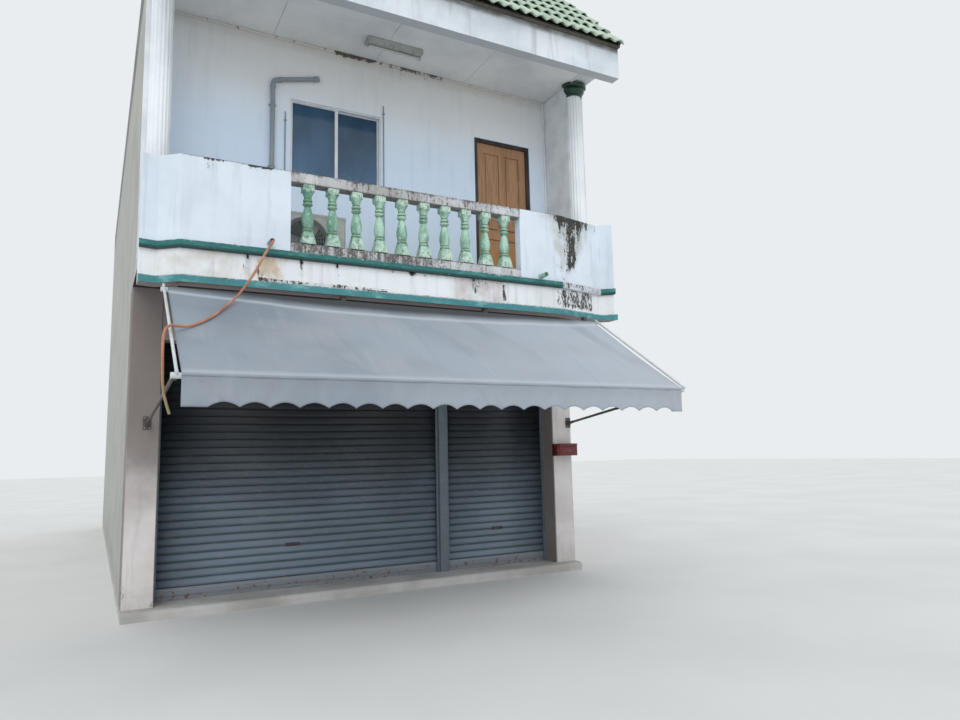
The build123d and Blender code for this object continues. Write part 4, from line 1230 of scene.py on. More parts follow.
@dataclass
class DrainHose:
    """Limp rubber hose from the left spout over the awning's side rod; its route is in millimetres.

    Attributes:
        radius: Half the hose's thickness.
        length: Its whole length in metres; not used.
        route: Places along its middle.
        tie: Place of the twine.
        twine: Half the twine's thickness.
    """

    radius: float = 0.010
    length: float = 2.29
    route: tuple[Point, ...] = (
        (-1405, -1295, 3244), (-1405, -1350, 3244), (-1410, -1400, 3219), (-1440, -1424, 3176), (-1476, -1434, 3116),
        (-1525, -1436, 3010), (-1590, -1438, 2885), (-1657, -1450, 2775), (-1740, -1498, 2666), (-1851, -1647, 2548),
        (-1962, -1803, 2441), (-2074, -1906, 2371), (-2156, -1980, 2338), (-2208, -2024, 2333), (-2259, -2072, 2329),
        (-2295, -2112, 2290), (-2307, -2141, 2222), (-2307, -2148, 2150), (-2304, -2148, 2030), (-2300, -2146, 1905),
        (-2284, -2143, 1800), (-2250, -2142, 1700))
    tie: Point = (-1.488, -1.4345, 3.089)
    twine: float = 0.0022

    def build(self) -> None:
        """Lay the hose on one smooth line and tie the twine on it."""
        points = [at(x / 1000, y / 1000, z / 1000) for x, y, z in self.route]
        hose = curve("drain_hose_line", points, self.radius, RUBBER, Coat.HOSE, "NURBS")
        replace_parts(hose, "drain_hose")
        knot = self.knot((points[5] - points[4]).normalized())

    def knot(self, way: Vector) -> bpy.types.Object:
        """Three turns of thin twine round the hose below the spout.

        Args:
            way: Direction of the hose there.

        Returns:
            The twine.
        """
        bm = bmesh.new()
        for step in (0.0, 0.006, 0.013):
            ring(bm, at(*self.tie) + way * step, self.radius + 0.001, self.twine, way, 20, 6)
        return MAKE.mesh("hose_tie", bm, RUBBER, Coat.HOSE)


@dataclass
class Awning:
    """Cloth over its bars: folds, hem, scalloped valance, rods and arms.

    Attributes:
        left: Left end of the cloth.
        right: Right end of the cloth.
        top: Depth and height of the top bar.
        bar: Depth and height of the front bar.
        lay: From a bar's middle to the cloth's.
        sag: How far the cloth hangs through between the bars.
        arches: Arches of the valance.
        arch: Width of an arch.
        arch_high: Height of an arch.
        plain: Straight edge before the first arch.
        drop: Height of the valance laid flat; not used.
        low: Height of its lowest edge.
        head: Height of its seam.
        gauge: Thickness of the cloth.
        wraps: How far the cloth wraps round the top and the front bar.
        seam: What the wraps add to the length laid flat; not used.
        feet: Where the arms stand on the piers.
        heads: Where they meet the front bar.
        foot_z: Height of their feet.
        arm_y: Depth of their feet and heads.
        tubes: Radius of the top and the front bar.
        side_rod: Radius of the side rods.
        arm_tube: Radius of the arms.
        collar: Radius of their collars.
        tape: Depth and height of the hem.
        hang_y: Depth of the valance.
        folds: Where each fold starts and ends, across and down, and its height.
        creases: Place, lean and depth of each crease of the valance.
    """

    left: float = -2.222
    right: float = 2.045
    top: tuple[float, float] = (-1.290, 2.752)
    bar: tuple[float, float] = (-2.530, 1.925)
    lay: float = 0.0255
    sag: float = 0.0145
    arches: int = 20
    arch: float = 0.2
    arch_high: float = 0.036
    plain: float = 0.162
    drop: float = 0.216
    low: float = 1.723
    head: float = 1.937
    gauge: float = 0.0012
    wraps: tuple[float, float] = (0.052, 0.030)
    seam: float = 0.083
    feet: tuple[float, float] = (-2.271, 2.395)
    heads: tuple[float, float] = (-2.262, 2.055)
    foot_z: float = 1.725
    arm_y: tuple[float, float] = (-0.292, -2.460)
    tubes: tuple[float, float] = (0.0198, 0.0208)
    side_rod: float = 0.0108
    arm_tube: float = 0.0138
    collar: float = 0.0165
    tape: tuple[float, float] = (-2.5565, 1.930)
    hang_y: float = -2.5535

    folds: tuple[tuple[float, ...], ...] = (
        (-0.29, 0.5, -0.33, 1.42, 0.009), (0.01, 0.6, 0.08, 1.44, 0.011), (0.66, 0.5, 0.66, 1.44, 0.010),
        (1.18, 0.62, 1.16, 1.48, 0.010), (-1.24, 0.42, -1.2, 1.12, 0.005), (-1.2, 1.05, -0.92, 1.48, 0.008),
        (-1.02, 0.7, -0.94, 1.42, 0.008), (-1.72, 0.4, -1.66, 0.98, 0.0022), (0.35, 0.75, 0.38, 1.4, 0.006),
        (1.62, 0.5, 1.78, 1.3, 0.005), (0.9, 0.35, 0.9, 0.7, 0.006), (-0.62, 0.3, -0.66, 0.8, 0.005))
    creases: tuple[tuple[float, float, float], ...] = (
        (-2.18, 0.03, -0.012), (-2.12, 0.14, 0.011), (-1.98, 0.1, -0.009), (-1.62, -0.06, 0.008),
        (-0.1, 0.12, 0.012), (0.02, 0.16, -0.009), (1.86, 0.08, 0.01), (1.95, 0.03, -0.012), (0.9, 0.05, 0.006))

    def __post_init__(self) -> None:
        """Work out how the cloth lies between its bars."""
        self.down = Vector((0, self.bar[0] - self.top[0], self.bar[1] - self.top[1]))
        self.length = self.down.length
        self.down.normalize()
        self.up = Vector((0, self.down.z, -self.down.y))

    def build(self) -> None:
        """Build cloth, valance and metalwork."""
        cloth, valance, hem = self.cloth(), self.valance(), self.hem()
        self.bars()
        self.arms()
        self.bolts()

    def fold(self, x: float, s: float) -> float:
        """Height of the folds at a place on the cloth.

        Args:
            x: Across, in metres.
            s: Distance down from the top bar.

        Returns:
            Height over the plain cloth.
        """
        height = 0.0
        for x0, s0, x1, s1, size in self.folds:
            t = (s - s0) / (s1 - s0)
            if -0.15 < t < 1.15:
                off = x - (x0 + (x1 - x0) * t)
                ends = math.sin(math.pi * min(1, max(0, (t + 0.15) / 1.3))) ** 0.7
                crest, trough = math.exp(-(off / 0.03) ** 2), math.exp(-((off - 0.075) / 0.05) ** 2)
                height += size * 1.5 * ends * (crest - 0.6 * trough)
        return height + 0.0018 * math.sin(x * 2.1 + 0.7) * math.sin(s * 2.4)

    def spot(self, x: float, s: float) -> Vector:
        """Place on the cloth, which wraps back round the top bar and under the front bar.

        Args:
            x: Across, in metres.
            s: Distance down from the top bar, less than 0 or past the length on a wrap.

        Returns:
            The place in the part's frame.
        """
        if not 0 <= s <= self.length:
            bar, turned = (self.top, s) if s < 0 else (self.bar, s - self.length)
            angle = turned / self.lay
            return at(x, *bar) + (self.up * math.cos(angle) + self.down * math.sin(angle)) * self.lay
        low, bow, middle, half = CREASE
        crease = low - bow * ((x - middle) / half) ** 2
        dip = 0.07 * crease * (s / crease if s < crease else max(0.0, 1 - (s - crease) / 0.45) ** 2)
        lift = self.lay - dip - self.sag * (1 - (2 * s / self.length - 1) ** 2)
        lift += self.fold(x, s) * min(1, s / 0.25, (self.length - s) / 0.04)
        return at(x, *self.top) + self.down * s + self.up * lift

    def sheet(self, across: int, down: int, place: Callable[[float, float], Vector]) -> bmesh.types.BMesh:
        """Grid laid out by a rule.

        Args:
            across: Cells from left to right.
            down: Cells from head to foot.
            place: Gives the corner for its x and its share of the way down.

        Returns:
            The filled bmesh.
        """
        bm = bmesh.new()
        bmesh.ops.create_grid(bm, x_segments=across, y_segments=down, size=0.5)
        for v in bm.verts:
            v.co = place(self.left + (self.right - self.left) * (v.co.x + 0.5), 0.5 - v.co.y)
        return bm

    def cloth(self) -> bpy.types.Object:
        """The cloth from behind the top bar to the seam under the front bar.

        Returns:
            The cloth, in place of the solid one.
        """
        first, last = -self.wraps[0], self.length + self.wraps[1]
        bm = self.sheet(214, 96, lambda x, share: self.spot(x, first + (last - first) * share))
        obj = MAKE.mesh("awning_cloth", bm, CLOTH, Coat.CLOTH)
        MAKE.thicken(obj, self.gauge, 0.0)
        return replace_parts(obj, "awning_canvas")

    def edge_z(self, x: float) -> float:
        """Height of the valance's scalloped edge.

        Args:
            x: Across, in metres.

        Returns:
            The height in metres.
        """
        along = x - self.left - self.plain
        if not 0 <= along < self.arches * self.arch:
            return self.low + 0.001
        return self.low + self.arch_high * math.sin(math.pi * ((along / self.arch) % 1.0)) ** 0.85

    def hung(self, x: float, share: float) -> Vector:
        """Place on the valance, which ripples more towards its foot.

        Args:
            x: Across, in metres.
            share: Share of its drop, 0 at the head.

        Returns:
            The place in the part's frame.
        """
        ripple = 0.006 * math.sin(x * 7.3 + 0.6) + 0.004 * math.sin(x * 17.1) + 0.003 * math.sin(x * 31 + share * 3)
        crease = sum(size * math.exp(-((x - x0 - lean * share) / 0.022) ** 2) for x0, lean, size in self.creases)
        y = self.hang_y + (ripple + crease) * share ** 0.8 + 0.006 * share
        return at(x, y, self.head - (self.head - self.edge_z(x)) * share)

    def valance(self) -> bpy.types.Object:
        """Hanging strip with arches cut in its foot.

        Returns:
            The strip, in place of the solid one.
        """
        obj = MAKE.mesh("awning_valance_cloth", self.sheet(426, 12, self.hung), CLOTH, Coat.CLOTH)
        MAKE.thicken(obj, self.gauge, 0.0)
        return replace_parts(obj, "awning_valance")

    def hem(self) -> bpy.types.Object:
        """Folded tape sewn along the seam between cloth and valance.

        Returns:
            The tape.
        """
        bm = bmesh.new()
        count = 180
        y0, z0 = self.tape
        seam = [at(self.left + (self.right - self.left) * i / count, y0 - 0.0012 * math.sin(i * 0.9),
                   z0 + 0.0012 * math.sin(i * 0.37)) for i in range(count + 1)]
        section = ((0.0, 0.007), (-0.0025, 0.004), (-0.003, 0.0), (-0.0025, -0.004), (0.0, -0.007))
        for y, z in section:
            line = [bm.verts.new(p + Vector((0, y, z))) for p in seam]
            for pair in zip(line, line[1:]):
                bm.edges.new(pair)
        lines = list(bm.edges)
        for i in range(len(section) - 1):
            bmesh.ops.bridge_loops(bm, edges=lines[i * count:(i + 2) * count])
        return MAKE.mesh("awning_hem", bm, CLOTH, Coat.CLOTH)

    def bars(self) -> None:
        """Round bars with a rod and two rings at each side."""
        bm = bmesh.new()
        over = 0.030
        left, right = self.left - over, self.right + over
        rod(bm, at(left - 0.02, *self.top), at(right + 0.016, *self.top), self.tubes[0], 28, edge=0.002)
        rod(bm, at(left - 0.034, *self.bar), at(right + 0.011, *self.bar), self.tubes[1], 28, edge=0.002)
        for x in (left, right):
            high = at(x, *self.top) + self.up * 0.0315 - self.down * 0.0245
            low = at(x, *self.bar) + self.up * 0.0325 + self.down * 0.0245
            rod(bm, high, low, self.side_rod, 18, edge=0.0015)
            for share in (0.012, 0.988):
                ring(bm, high.lerp(low, share), 0.0115, 0.002, (low - high).normalized(), 18, 6)
        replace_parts(MAKE.mesh("awning_bar_tubes", bm, AWNING_WHITE, Coat.AWNING_WHITE), "awning_bars")

    def arms(self) -> None:
        """Arms from the piers to the front bar, each with three collars."""
        bm = bmesh.new()
        for foot_x, head_x in zip(self.feet, self.heads):
            foot, head = at(foot_x, self.arm_y[0], self.foot_z), at(head_x, self.arm_y[1], self.bar[1])
            rod(bm, foot, head, self.arm_tube, 20, edge=0.001)
            along = (head - foot).normalized() * 0.02
            for share in (0.03, 0.52, 0.97):
                spot = foot.lerp(head, share)
                rod(bm, spot - along, spot + along, self.collar, 20, edge=0.003)
        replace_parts(MAKE.mesh("awning_arm_tubes", bm, AWNING_METAL, Coat.AWNING_METAL), "awning_arms")

    def bolts(self) -> None:
        """Four bolt heads on each arm's bracket."""
        bm = bmesh.new()
        for foot_x in self.feet:
            for dz in (-0.045, 0.045):
                for x in (foot_x - 0.022, foot_x + 0.022):
                    z = self.foot_z + dz
                    rod(bm, at(x, -0.256, z), at(x, -0.263, z), 0.008, 6)
        MAKE.mesh("awning_bracket_bolts", bm, STEEL, Coat.AWNING_METAL)


@dataclass
class Shutters:
    """Two roller curtains of curved slats with foot rails and lock plates.

    Attributes:
        jambs: Left and right edge of each opening.
        locks: Middle of each lock.
        slats: Slats of a curtain.
        head: Top of a curtain.
        gauge: Thickness of the sheet.
        lock_z: Height of the locks.
    """

    jambs: tuple[tuple[float, float], ...] = ((-2.165, 0.755), (0.845, 2.165))
    locks: tuple[float, ...] = (-0.875, 1.505)
    slats: int = 31
    head: float = 2.56
    gauge: float = 0.0012
    lock_z: float = 0.515

    def build(self) -> None:
        """Build both curtains and the small parts on them."""
        for name, (left, right), lock in zip(("wide", "narrow"), self.jambs, self.locks):
            ends = left + 0.008, right - 0.008
            self.curtain(name, *ends)
            self.rail(name, *ends, lock)
            self.lock(name, lock)
        self.screws()

    def outline(self) -> list[tuple[float, float]]:
        """Side view of the slats: bulge out of the curtain and height."""
        shape = ((0.0, 0.0), (0.0035, 0.03), (0.0068, 0.1), (0.0080, 0.3), (0.0080, 0.5), (0.0072, 0.7),
                 (0.0052, 0.86), (0.002, 0.95), (-0.0018, 0.975))
        return [(out, SLAT_FOOT + (i + up) * SLAT_PITCH) for i in range(self.slats) for out, up in shape]

    def curtain(self, name: str, x0: float, x1: float) -> None:
        """One curtain of slats.

        Args:
            name: Which shutter.
            x0: Its left end.
            x1: Its right end.
        """
        bm = bmesh.new()
        line = [at(x0, -out, z) for out, z in self.outline()] + [at(x0, 0.0, self.head)]
        extruded(bm, line, Vector((x1 - x0, 0, 0)), closed=False)
        sheet = MAKE.mesh(name + "_curtain", bm, SLATS, Coat.SHUTTER)
        MAKE.thicken(sheet, self.gauge)
        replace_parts(sheet, name + "_shutter")

    def rail(self, name: str, x0: float, x1: float, lock: float) -> None:
        """Foot rail with its ribs, its rubber and the plate under the lock.

        Args:
            name: Which shutter.
            x0: Its left end.
            x1: Its right end.
            lock: Middle of the lock.
        """
        bm = bmesh.new()
        block(bm, at(x0, -0.0075, 0.106), at(x1, 0.0065, SLAT_FOOT - 0.003), 0.002)
        for z in (0.13, 0.165):
            block(bm, at(x0 + 0.002, -0.0098, z), at(x1 - 0.002, -0.006, z + 0.012), 0.0015)
        block(bm, at(x0 + 0.004, -0.0045, 0.0902), at(x1 - 0.004, 0.0045, 0.108), 0.002)
        block(bm, at(lock - 0.07, -0.0118, 0.1), at(lock + 0.07, -0.008, 0.125), 0.0015)
        MAKE.mesh(name + "_curtain_foot_rail", bm, SLATS, Coat.SHUTTER)

    def lock(self, name: str, x: float) -> None:
        """Lock plate with its cylinder and two rivets.

        Args:
            name: Which shutter.
            x: Middle of the lock.
        """
        bm = bmesh.new()
        z = self.lock_z
        block(bm, at(x - 0.072, -0.0112, z - 0.017), at(x + 0.072, -0.0075, z + 0.017), 0.0015)
        rod(bm, at(x, -0.0095, z), at(x, -0.0122, z), 0.011, 20, edge=0.001)
        for side in (-1, 1):
            rod(bm, at(x + side * 0.058, -0.0105, z), at(x + side * 0.058, -0.0122, z), 0.004, 10)
        MAKE.mesh(name + "_curtain_lock", bm, LOCK, Coat.GUIDE)

    def screws(self) -> None:
        """Screws down the post's cover strip."""
        bm = bmesh.new()
        for i in range(6):
            z = 0.25 + i * 0.42
            for x in (0.772, 0.828):
                rod(bm, at(x, -0.0495, z), at(x, -0.0525, z), 0.0055, 10, 0.004)
        MAKE.mesh("shutter_post_screws", bm, STEEL, Coat.GUIDE)


@dataclass
class Balustrade:
    """Ten turned balusters under the handrail; their outlines are radii and heights in millimetres.

    Attributes:
        count: How many there are.
        pitch: From one to the next.
        middle: Middle of the row.
        y: Depth of the row.
        foot: Top of the kerb.
        cap: Half the head block's width, its foot and its top, from the kerb.
        turned: Outline of the shaft.
        skirt: Outline of the foot.
    """

    count: int = 10
    pitch: float = 0.2305
    middle: float = -0.022
    y: float = -1.168
    foot: float = 3.292
    cap: tuple[float, float, float] = (0.054, 0.499, 0.554)

    turned: tuple[tuple[float, float], ...] = (
        (44, 119), (48, 124), (48.5, 132), (48, 140), (44, 144), (40, 149), (42, 158), (47, 178), (51.5, 200),
        (53, 218), (52, 240), (48.5, 265), (43, 295), (36.5, 323), (31.5, 343), (29, 355), (31, 364),
        (38, 370), (45, 374), (46.5, 381), (44, 388), (37, 392), (34, 397), (37, 403), (42, 407),
        (43.5, 415), (42, 422), (37, 427), (34, 431), (35, 446), (40, 466), (47.5, 484), (53.5, 497),
        (53.5, 501))
    skirt: tuple[tuple[float, float], ...] = ((64, 0), (64, 9), (57, 48), (49, 88), (44, 113), (42, 122))

    def build(self) -> None:
        """Stand the row of balusters on the kerb."""
        bm = bmesh.new()
        for i in range(self.count):
            x = self.middle + (i - (self.count - 1) / 2) * self.pitch
            self.stand(bm, at(x, self.y, self.foot))
        obj = MAKE.mesh("turned_balusters", bm, BalusterPaint("mint_paint"), Coat.MINT)
        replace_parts(obj, "balusters")

    def stand(self, bm: bmesh.types.BMesh, base: Vector) -> None:
        """One baluster: turned shaft on a four-sided foot, under a head block.

        Args:
            bm: Mesh to add to.
            base: Middle of its foot.
        """
        lathe(bm, [(r / 1000, z / 1000) for r, z in self.turned], base, 30)
        diagonal = math.sqrt(2) / 1000
        foot = [(0.0001, 0), *((r * diagonal, z / 1000) for r, z in self.skirt), (0.0001, 0.122)]
        made = lathe(bm, foot, base, 4, start=math.pi / 4)
        rounded(bm, [e for e in upright(made, 0.004) if min((v.co - base).xy.length for v in e.verts) > 0.03], 0.004)
        half, low, high = self.cap
        head = block(bm, base + Vector((-half, -half, low)), base + Vector((half, half, high)), 0)
        rounded(bm, upright(head, 0.01), 0.014)


@dataclass
class Columns:
    """Fluted half-round columns and their green capitals, whose outline is in millimetres.

    Attributes:
        at_x: Distance of the columns from the middle.
        radius: Radius of the shaft.
        flutes: Flutes that a whole round would have.
        flute: Half a flute's width, and its depth.
        y: Depth of the flat back.
        foot: Foot of the shaft.
        neck: Foot of the capital.
        turned: Outline of the capital.
    """

    at_x: float = 2.3
    radius: float = 0.092
    flutes: int = 16
    flute: tuple[float, float] = (0.0115, 0.0085)
    y: float = -0.75
    foot: float = DECK_Z
    neck: float = 5.65

    turned: tuple[tuple[float, float], ...] = (
        (0.0, 0), (96, 0), (104, 2), (107, 8), (104, 15), (98, 19), (98, 25), (108, 34), (123, 48),
        (133, 64), (137, 80), (134, 92), (126, 99), (126, 103), (148, 105), (157, 109), (160, 117),
        (160, 142), (156, 149.5), (0.0, 149.5))

    def build(self) -> None:
        """Build both shafts and both capitals."""
        shafts, capitals = bmesh.new(), bmesh.new()
        outline = [(r / 1000, z / 1000) for r, z in self.turned]
        for x in (-self.at_x, self.at_x):
            extruded(shafts, self.section(x), Vector((0, 0, self.neck - self.foot)))
            lathe(capitals, outline, at(x, self.y, self.neck), 32, math.pi, math.pi)
        for side in (-1, 1):
            bmesh.ops.bisect_plane(capitals, geom=[*capitals.verts, *capitals.edges, *capitals.faces],
                                   plane_co=(side * SIDE, 0, 0), plane_no=(side, 0, 0), clear_outer=True)
        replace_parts(MAKE.mesh("fluted_columns", shafts, COLUMN_PAINT, Coat.WALL), "balcony_columns")
        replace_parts(MAKE.mesh("turned_capitals", capitals, GREEN_GLOSS, Coat.CAPITAL), "column_capitals")

    def section(self, x: float) -> list[Vector]:
        """Half-round outline with hollow flutes, in plan.

        Args:
            x: Middle of the column.

        Returns:
            Its points from left to right.
        """
        steps, points = self.flutes * 6, []
        half, deep = self.flute
        for i in range(steps + 1):
            angle = math.pi + math.pi * i / steps
            away = (angle / (2 * math.pi / self.flutes) + 0.5) % 1.0 - 0.5
            off = abs(away) * 2 * math.pi * self.radius / self.flutes
            r = self.radius - deep * math.sqrt(max(0.0, 1 - (off / half) ** 2))
            points.append(at(x + r * math.cos(angle), self.y + r * math.sin(angle), self.foot))
        return points


@dataclass
class TiledEdge:
    """Courses of wave tiles on the sloping strip over the street, bedded in mortar.

    Attributes:
        eave: Depth of the slope's foot.
        foot: Height of the slope's foot.
        slope: Its angle in degrees.
        run: Its length in plan.
        pitch: Width of a tile, before it is fitted to the whole width.
        courses: Courses from the eave up.
        wave: Height of the wave.
        step: How much further off the slope a tile's foot lies than its head.
        thick: Thickness of a tile.
        inset: How far the tiles keep from the building's sides.
        step_over: Share of a tile by which each course is shifted.
        overhang: Reach over the eave.
        lap: Reach over the course below.
        cells: Cells of a tile's grid each way.
        strip: Width of the mortar strips.
    """

    eave: float = -1.498
    foot: float = 5.975
    slope: float = 47.5
    run: float = 1.05
    pitch: float = 0.1316
    courses: int = 5
    wave: float = 0.035
    step: float = 0.030
    thick: float = 0.012
    inset: float = 0.0145
    step_over: float = 0.28
    overhang: float = 0.062
    lap: float = 0.03
    cells: int = 10
    strip: float = 0.022

    def __post_init__(self) -> None:
        """Work out the slope's directions and how wide a tile is."""
        rise = math.radians(self.slope)
        self.down = Vector((0, -math.cos(rise), -math.sin(rise)))
        self.up = Vector((0, -math.sin(rise), math.cos(rise)))
        self.length = self.run / math.cos(rise)
        self.columns = round(2 * SIDE / self.pitch)
        self.width = 2 * SIDE / self.columns

    def build(self) -> None:
        """Lay the courses from the eave up, then the mortar."""
        bm = bmesh.new()
        marks = {name: bm.verts.layers.float.new(name) for name in ("shade", "low", "lap", "rim")}
        rng = random.Random(7)
        for course in range(self.courses):
            shift = (course * self.step_over) % 1.0
            for column in range(self.columns + (shift > 0)):
                self.tile(bm, marks, rng, course, column - shift)
        tiles = MAKE.mesh("wave_tiles", bm, TILE, Coat.TILE, weld=0)
        MAKE.thicken(tiles, self.thick, 1.0)
        self.bedding()

    def tile(self, bm: bmesh.types.BMesh, marks: dict[str, bmesh.types.BMLayerItem], rng: random.Random, course: int,
             place: float) -> None:
        """One tile, cut off at the building's sides.

        Args:
            bm: Mesh to add to.
            marks: Layers that hold what the glaze reads: shade, trough, lap, where it paints a shadow, and rim.
            rng: Source of its own shade, lift and slip.
            course: Its course, from the eave.
            place: Its left edge, in tiles from the left side.
        """
        own = rng.uniform(0.05, 0.6)
        lift, slip = rng.uniform(-0.001, 0.0015), rng.uniform(-0.004, 0.004)
        top = course == self.courses - 1
        exposed = (self.length + 0.02) / self.courses
        back, drop = exposed + (0.0 if top else self.lap), self.lap if course else self.overhang
        head, limit = self.length - course * exposed - back, SIDE - self.inset
        shift, above = ((n * self.step_over) % 1.0 for n in (course, course + 1))
        for v in bmesh.ops.create_grid(bm, x_segments=self.cells, y_segments=self.cells, size=0.5)["verts"]:
            u, w = v.co.x + 0.5, 0.5 - v.co.y
            s = max(0.02, head + (back + drop + slip) * w)
            bulge = self.profile(u)
            x = -SIDE + (place + u) * self.width
            v.co = at(max(-limit, min(limit, x)), self.eave, self.foot)
            v.co += self.down * (s - self.length) + self.up * (0.004 + bulge * self.wave + self.step * w + lift)
            v[marks["shade"]], v[marks["low"]] = own, 1 - bulge
            # Lap: where the glaze paints the shadow of the tile above.
            reach = 0.2 + 0.27 * self.profile((u - shift + above) % 1.0)
            v[marks["lap"]] = 0.0 if top else max(0.0, 1 - w / reach)
            v[marks["rim"]] = max(0.0, (w - 0.75) / 0.25)

    def bedding(self) -> None:
        """Mortar lumps under the ridge and a strip up each side."""
        bm = bmesh.new()
        head_z = self.foot + self.run * math.tan(math.radians(self.slope))
        half = self.width * 0.49
        for i in range(self.columns):
            spot = at(-SIDE + (i + 0.5) * self.width, self.eave + self.run - 0.035, head_z - 0.03)
            block(bm, spot - Vector((half, 0.035, 0.02)), spot + Vector((half, 0.03, 0.028)), 0.012)
        outline = ((0.004, -0.004), (0.0, 0.026), (0.05, 0.034), (self.length - 0.05, 0.034),
                   (self.length - 0.02, -0.004))
        for x in (-SIDE, SIDE - self.strip):
            edge = at(x, self.eave, self.foot)
            extruded(bm, [edge - self.down * s + self.up * out for s, out in outline], Vector((self.strip, 0, 0)))
        MAKE.mesh("tile_bedding", bm, MORTAR, Coat.MORTAR)

    @staticmethod
    def profile(u: float) -> float:
        """Height of the wave across one tile, 0 to 1."""
        return (0.5 - 0.5 * math.cos(2 * math.pi * u)) ** 0.75


@dataclass
class Openings:
    """Small parts on the windows and doors, and the conduits beside them."""

    def build(self) -> None:
        """Add the sill drip, the door furniture and the conduits."""
        self.sill()
        self.levers()
        self.conduits()

    def sill(self) -> None:
        """Sill drip under the front window."""
        bm = bmesh.new()
        block(bm, at(-1.02, -0.262, 4.204), at(0.011, WALL_Y, 4.218), 0.003)
        MAKE.mesh("window_small_parts", bm, FRAME_WHITE, Coat.FRAME_WHITE)

    def levers(self) -> None:
        """Lever and lock plate on both doors: x, face, height, which way is out, and the lever's run."""
        bm = bmesh.new()
        for x, y, z, out, run in ((1.273, -0.215, 4.1, -1, 0.11), (1.81, 9.715, 1.09, 1, -0.11)):
            near, far = sorted((y, y + out * 0.004))
            block(bm, at(x - 0.018, near, z - 0.09), at(x + 0.018, far, z + 0.09), 0.0015)
            rod(bm, at(x, y, z + 0.02), at(x, y + out * 0.031, z + 0.02), 0.009, 16, edge=0.001)
            y += out * 0.026
            rod(bm, at(x, y, z + 0.02), at(x + run, y, z + 0.015), 0.0085, 16, edge=0.003)
        MAKE.mesh("door_furniture", bm, STEEL, Coat.GUIDE)

    def conduits(self) -> None:
        """Thin grey conduits beside the window and a white one in the right corner, clipped to the wall."""
        bm = bmesh.new()
        for x, low, high in ((-1.063, DECK_Z, 4.98), (0.028, DECK_Z, 5.28)):
            rod(bm, at(x, -0.257, low), at(x, -0.257, high), 0.0065, 14)
            for i in range(3):
                z = low + 0.3 + i * (high - low - 0.4) / 2
                block(bm, at(x - 0.014, -0.2655, z), at(x + 0.014, WALL_Y, z + 0.014), 0.002)
        MAKE.mesh("wall_conduits", bm, PIPE, Coat.PIPE)
        bm = bmesh.new()
        rod(bm, at(2.178, -0.263, DECK_Z), at(2.178, -0.263, 5.79), 0.0115, 18)
        for i in range(4):
            z = 3.4 + i * 0.68
            block(bm, at(2.163, -0.2765, z), at(2.1995, WALL_Y, z + 0.016), 0.002)
        MAKE.mesh("corner_conduit", bm, FRAME_WHITE, Coat.FRAME_WHITE)


@dataclass
class Condenser:
    """Fan, wire guard and case details of the cooling unit on the balcony.

    Attributes:
        fan: Middle of the fan's opening.
        radius: Radius of the opening.
        wires: Rings of the guard.
        spokes: Spokes of the guard.
        blades: Blades of the fan.
    """

    fan: Point = (-1.025, -0.99, 3.3975)
    radius: float = 0.21
    wires: int = 13
    spokes: int = 24
    blades: int = 3

    def build(self) -> None:
        """Build the guard, the fan behind it and the case's details."""
        self.centre = at(*self.fan)
        self.guard()
        self.blade_wheel()
        self.case()

    def behind(self, depth: float) -> Vector:
        """Point on the fan's axis, this far behind the case's face."""
        return self.centre + Vector((0, depth, 0))

    def guard(self) -> None:
        """Domed wire rings and spokes round a hub."""
        bm = bmesh.new()
        for i in range(self.wires):
            dome = 0.003 * (1 - (i / (self.wires - 1)) ** 2)
            ring(bm, self.behind(-0.003 - dome), 0.022 + i * 0.0162, 0.0025, steps=40, sides=6)
        ring(bm, self.behind(-0.003), self.radius + 0.006, 0.0035, steps=48)
        for i in range(self.spokes):
            angle = 2 * math.pi * i / self.spokes
            way = Vector((math.cos(angle), 0, math.sin(angle)))
            rod(bm, self.behind(-0.0035) + way * 0.02, self.behind(-0.0025) + way * 0.214, 0.0018, 6)
        rod(bm, self.behind(-0.008), self.behind(-0.001), 0.026, 24, edge=0.002)
        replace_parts(MAKE.mesh("fan_wire_guard", bm, GUARD, Coat.GUARD), "ac_fan_guard")

    def blade_wheel(self) -> None:
        """Hub and swept blades."""
        bm = bmesh.new()
        rod(bm, self.behind(0.012), self.behind(0.05), 0.04, 24, edge=0.004)
        for i in range(self.blades):
            angle = 2 * math.pi * i / self.blades
            for v in bmesh.ops.create_grid(bm, x_segments=10, y_segments=6, size=0.5)["verts"]:
                out, side = v.co.x + 0.5, v.co.y
                r, sweep = 0.035 + out * 0.16, side * (0.9 + 0.7 * out) + angle
                v.co = self.centre + Vector((r * math.cos(sweep), 0.032 + 0.022 * side, r * math.sin(sweep)))
        MAKE.thicken(MAKE.mesh("fan_blades", bm, SHADOW, Coat.GUARD), 0.003)

    def case(self) -> None:
        """Lid, seam, side louvres and a plain plate."""
        bm = bmesh.new()
        block(bm, at(-1.424, -0.9945, 3.628), at(-0.636, -0.6955, 3.658), 0.006)
        block(bm, at(-0.792, -0.9915, 3.145), at(-0.788, -0.9885, 3.625), 0.001)
        for i in range(7):
            z = 3.2 + i * 0.03
            block(bm, at(-0.642, -0.93, z), at(-0.6385, -0.78, z + 0.012), 0.0015)
        block(bm, at(-0.74, -0.993, 3.5), at(-0.675, -0.9885, 3.54), 0.002)
        MAKE.mesh("condenser_case_details", bm, CONDENSER, Coat.CONDENSER)


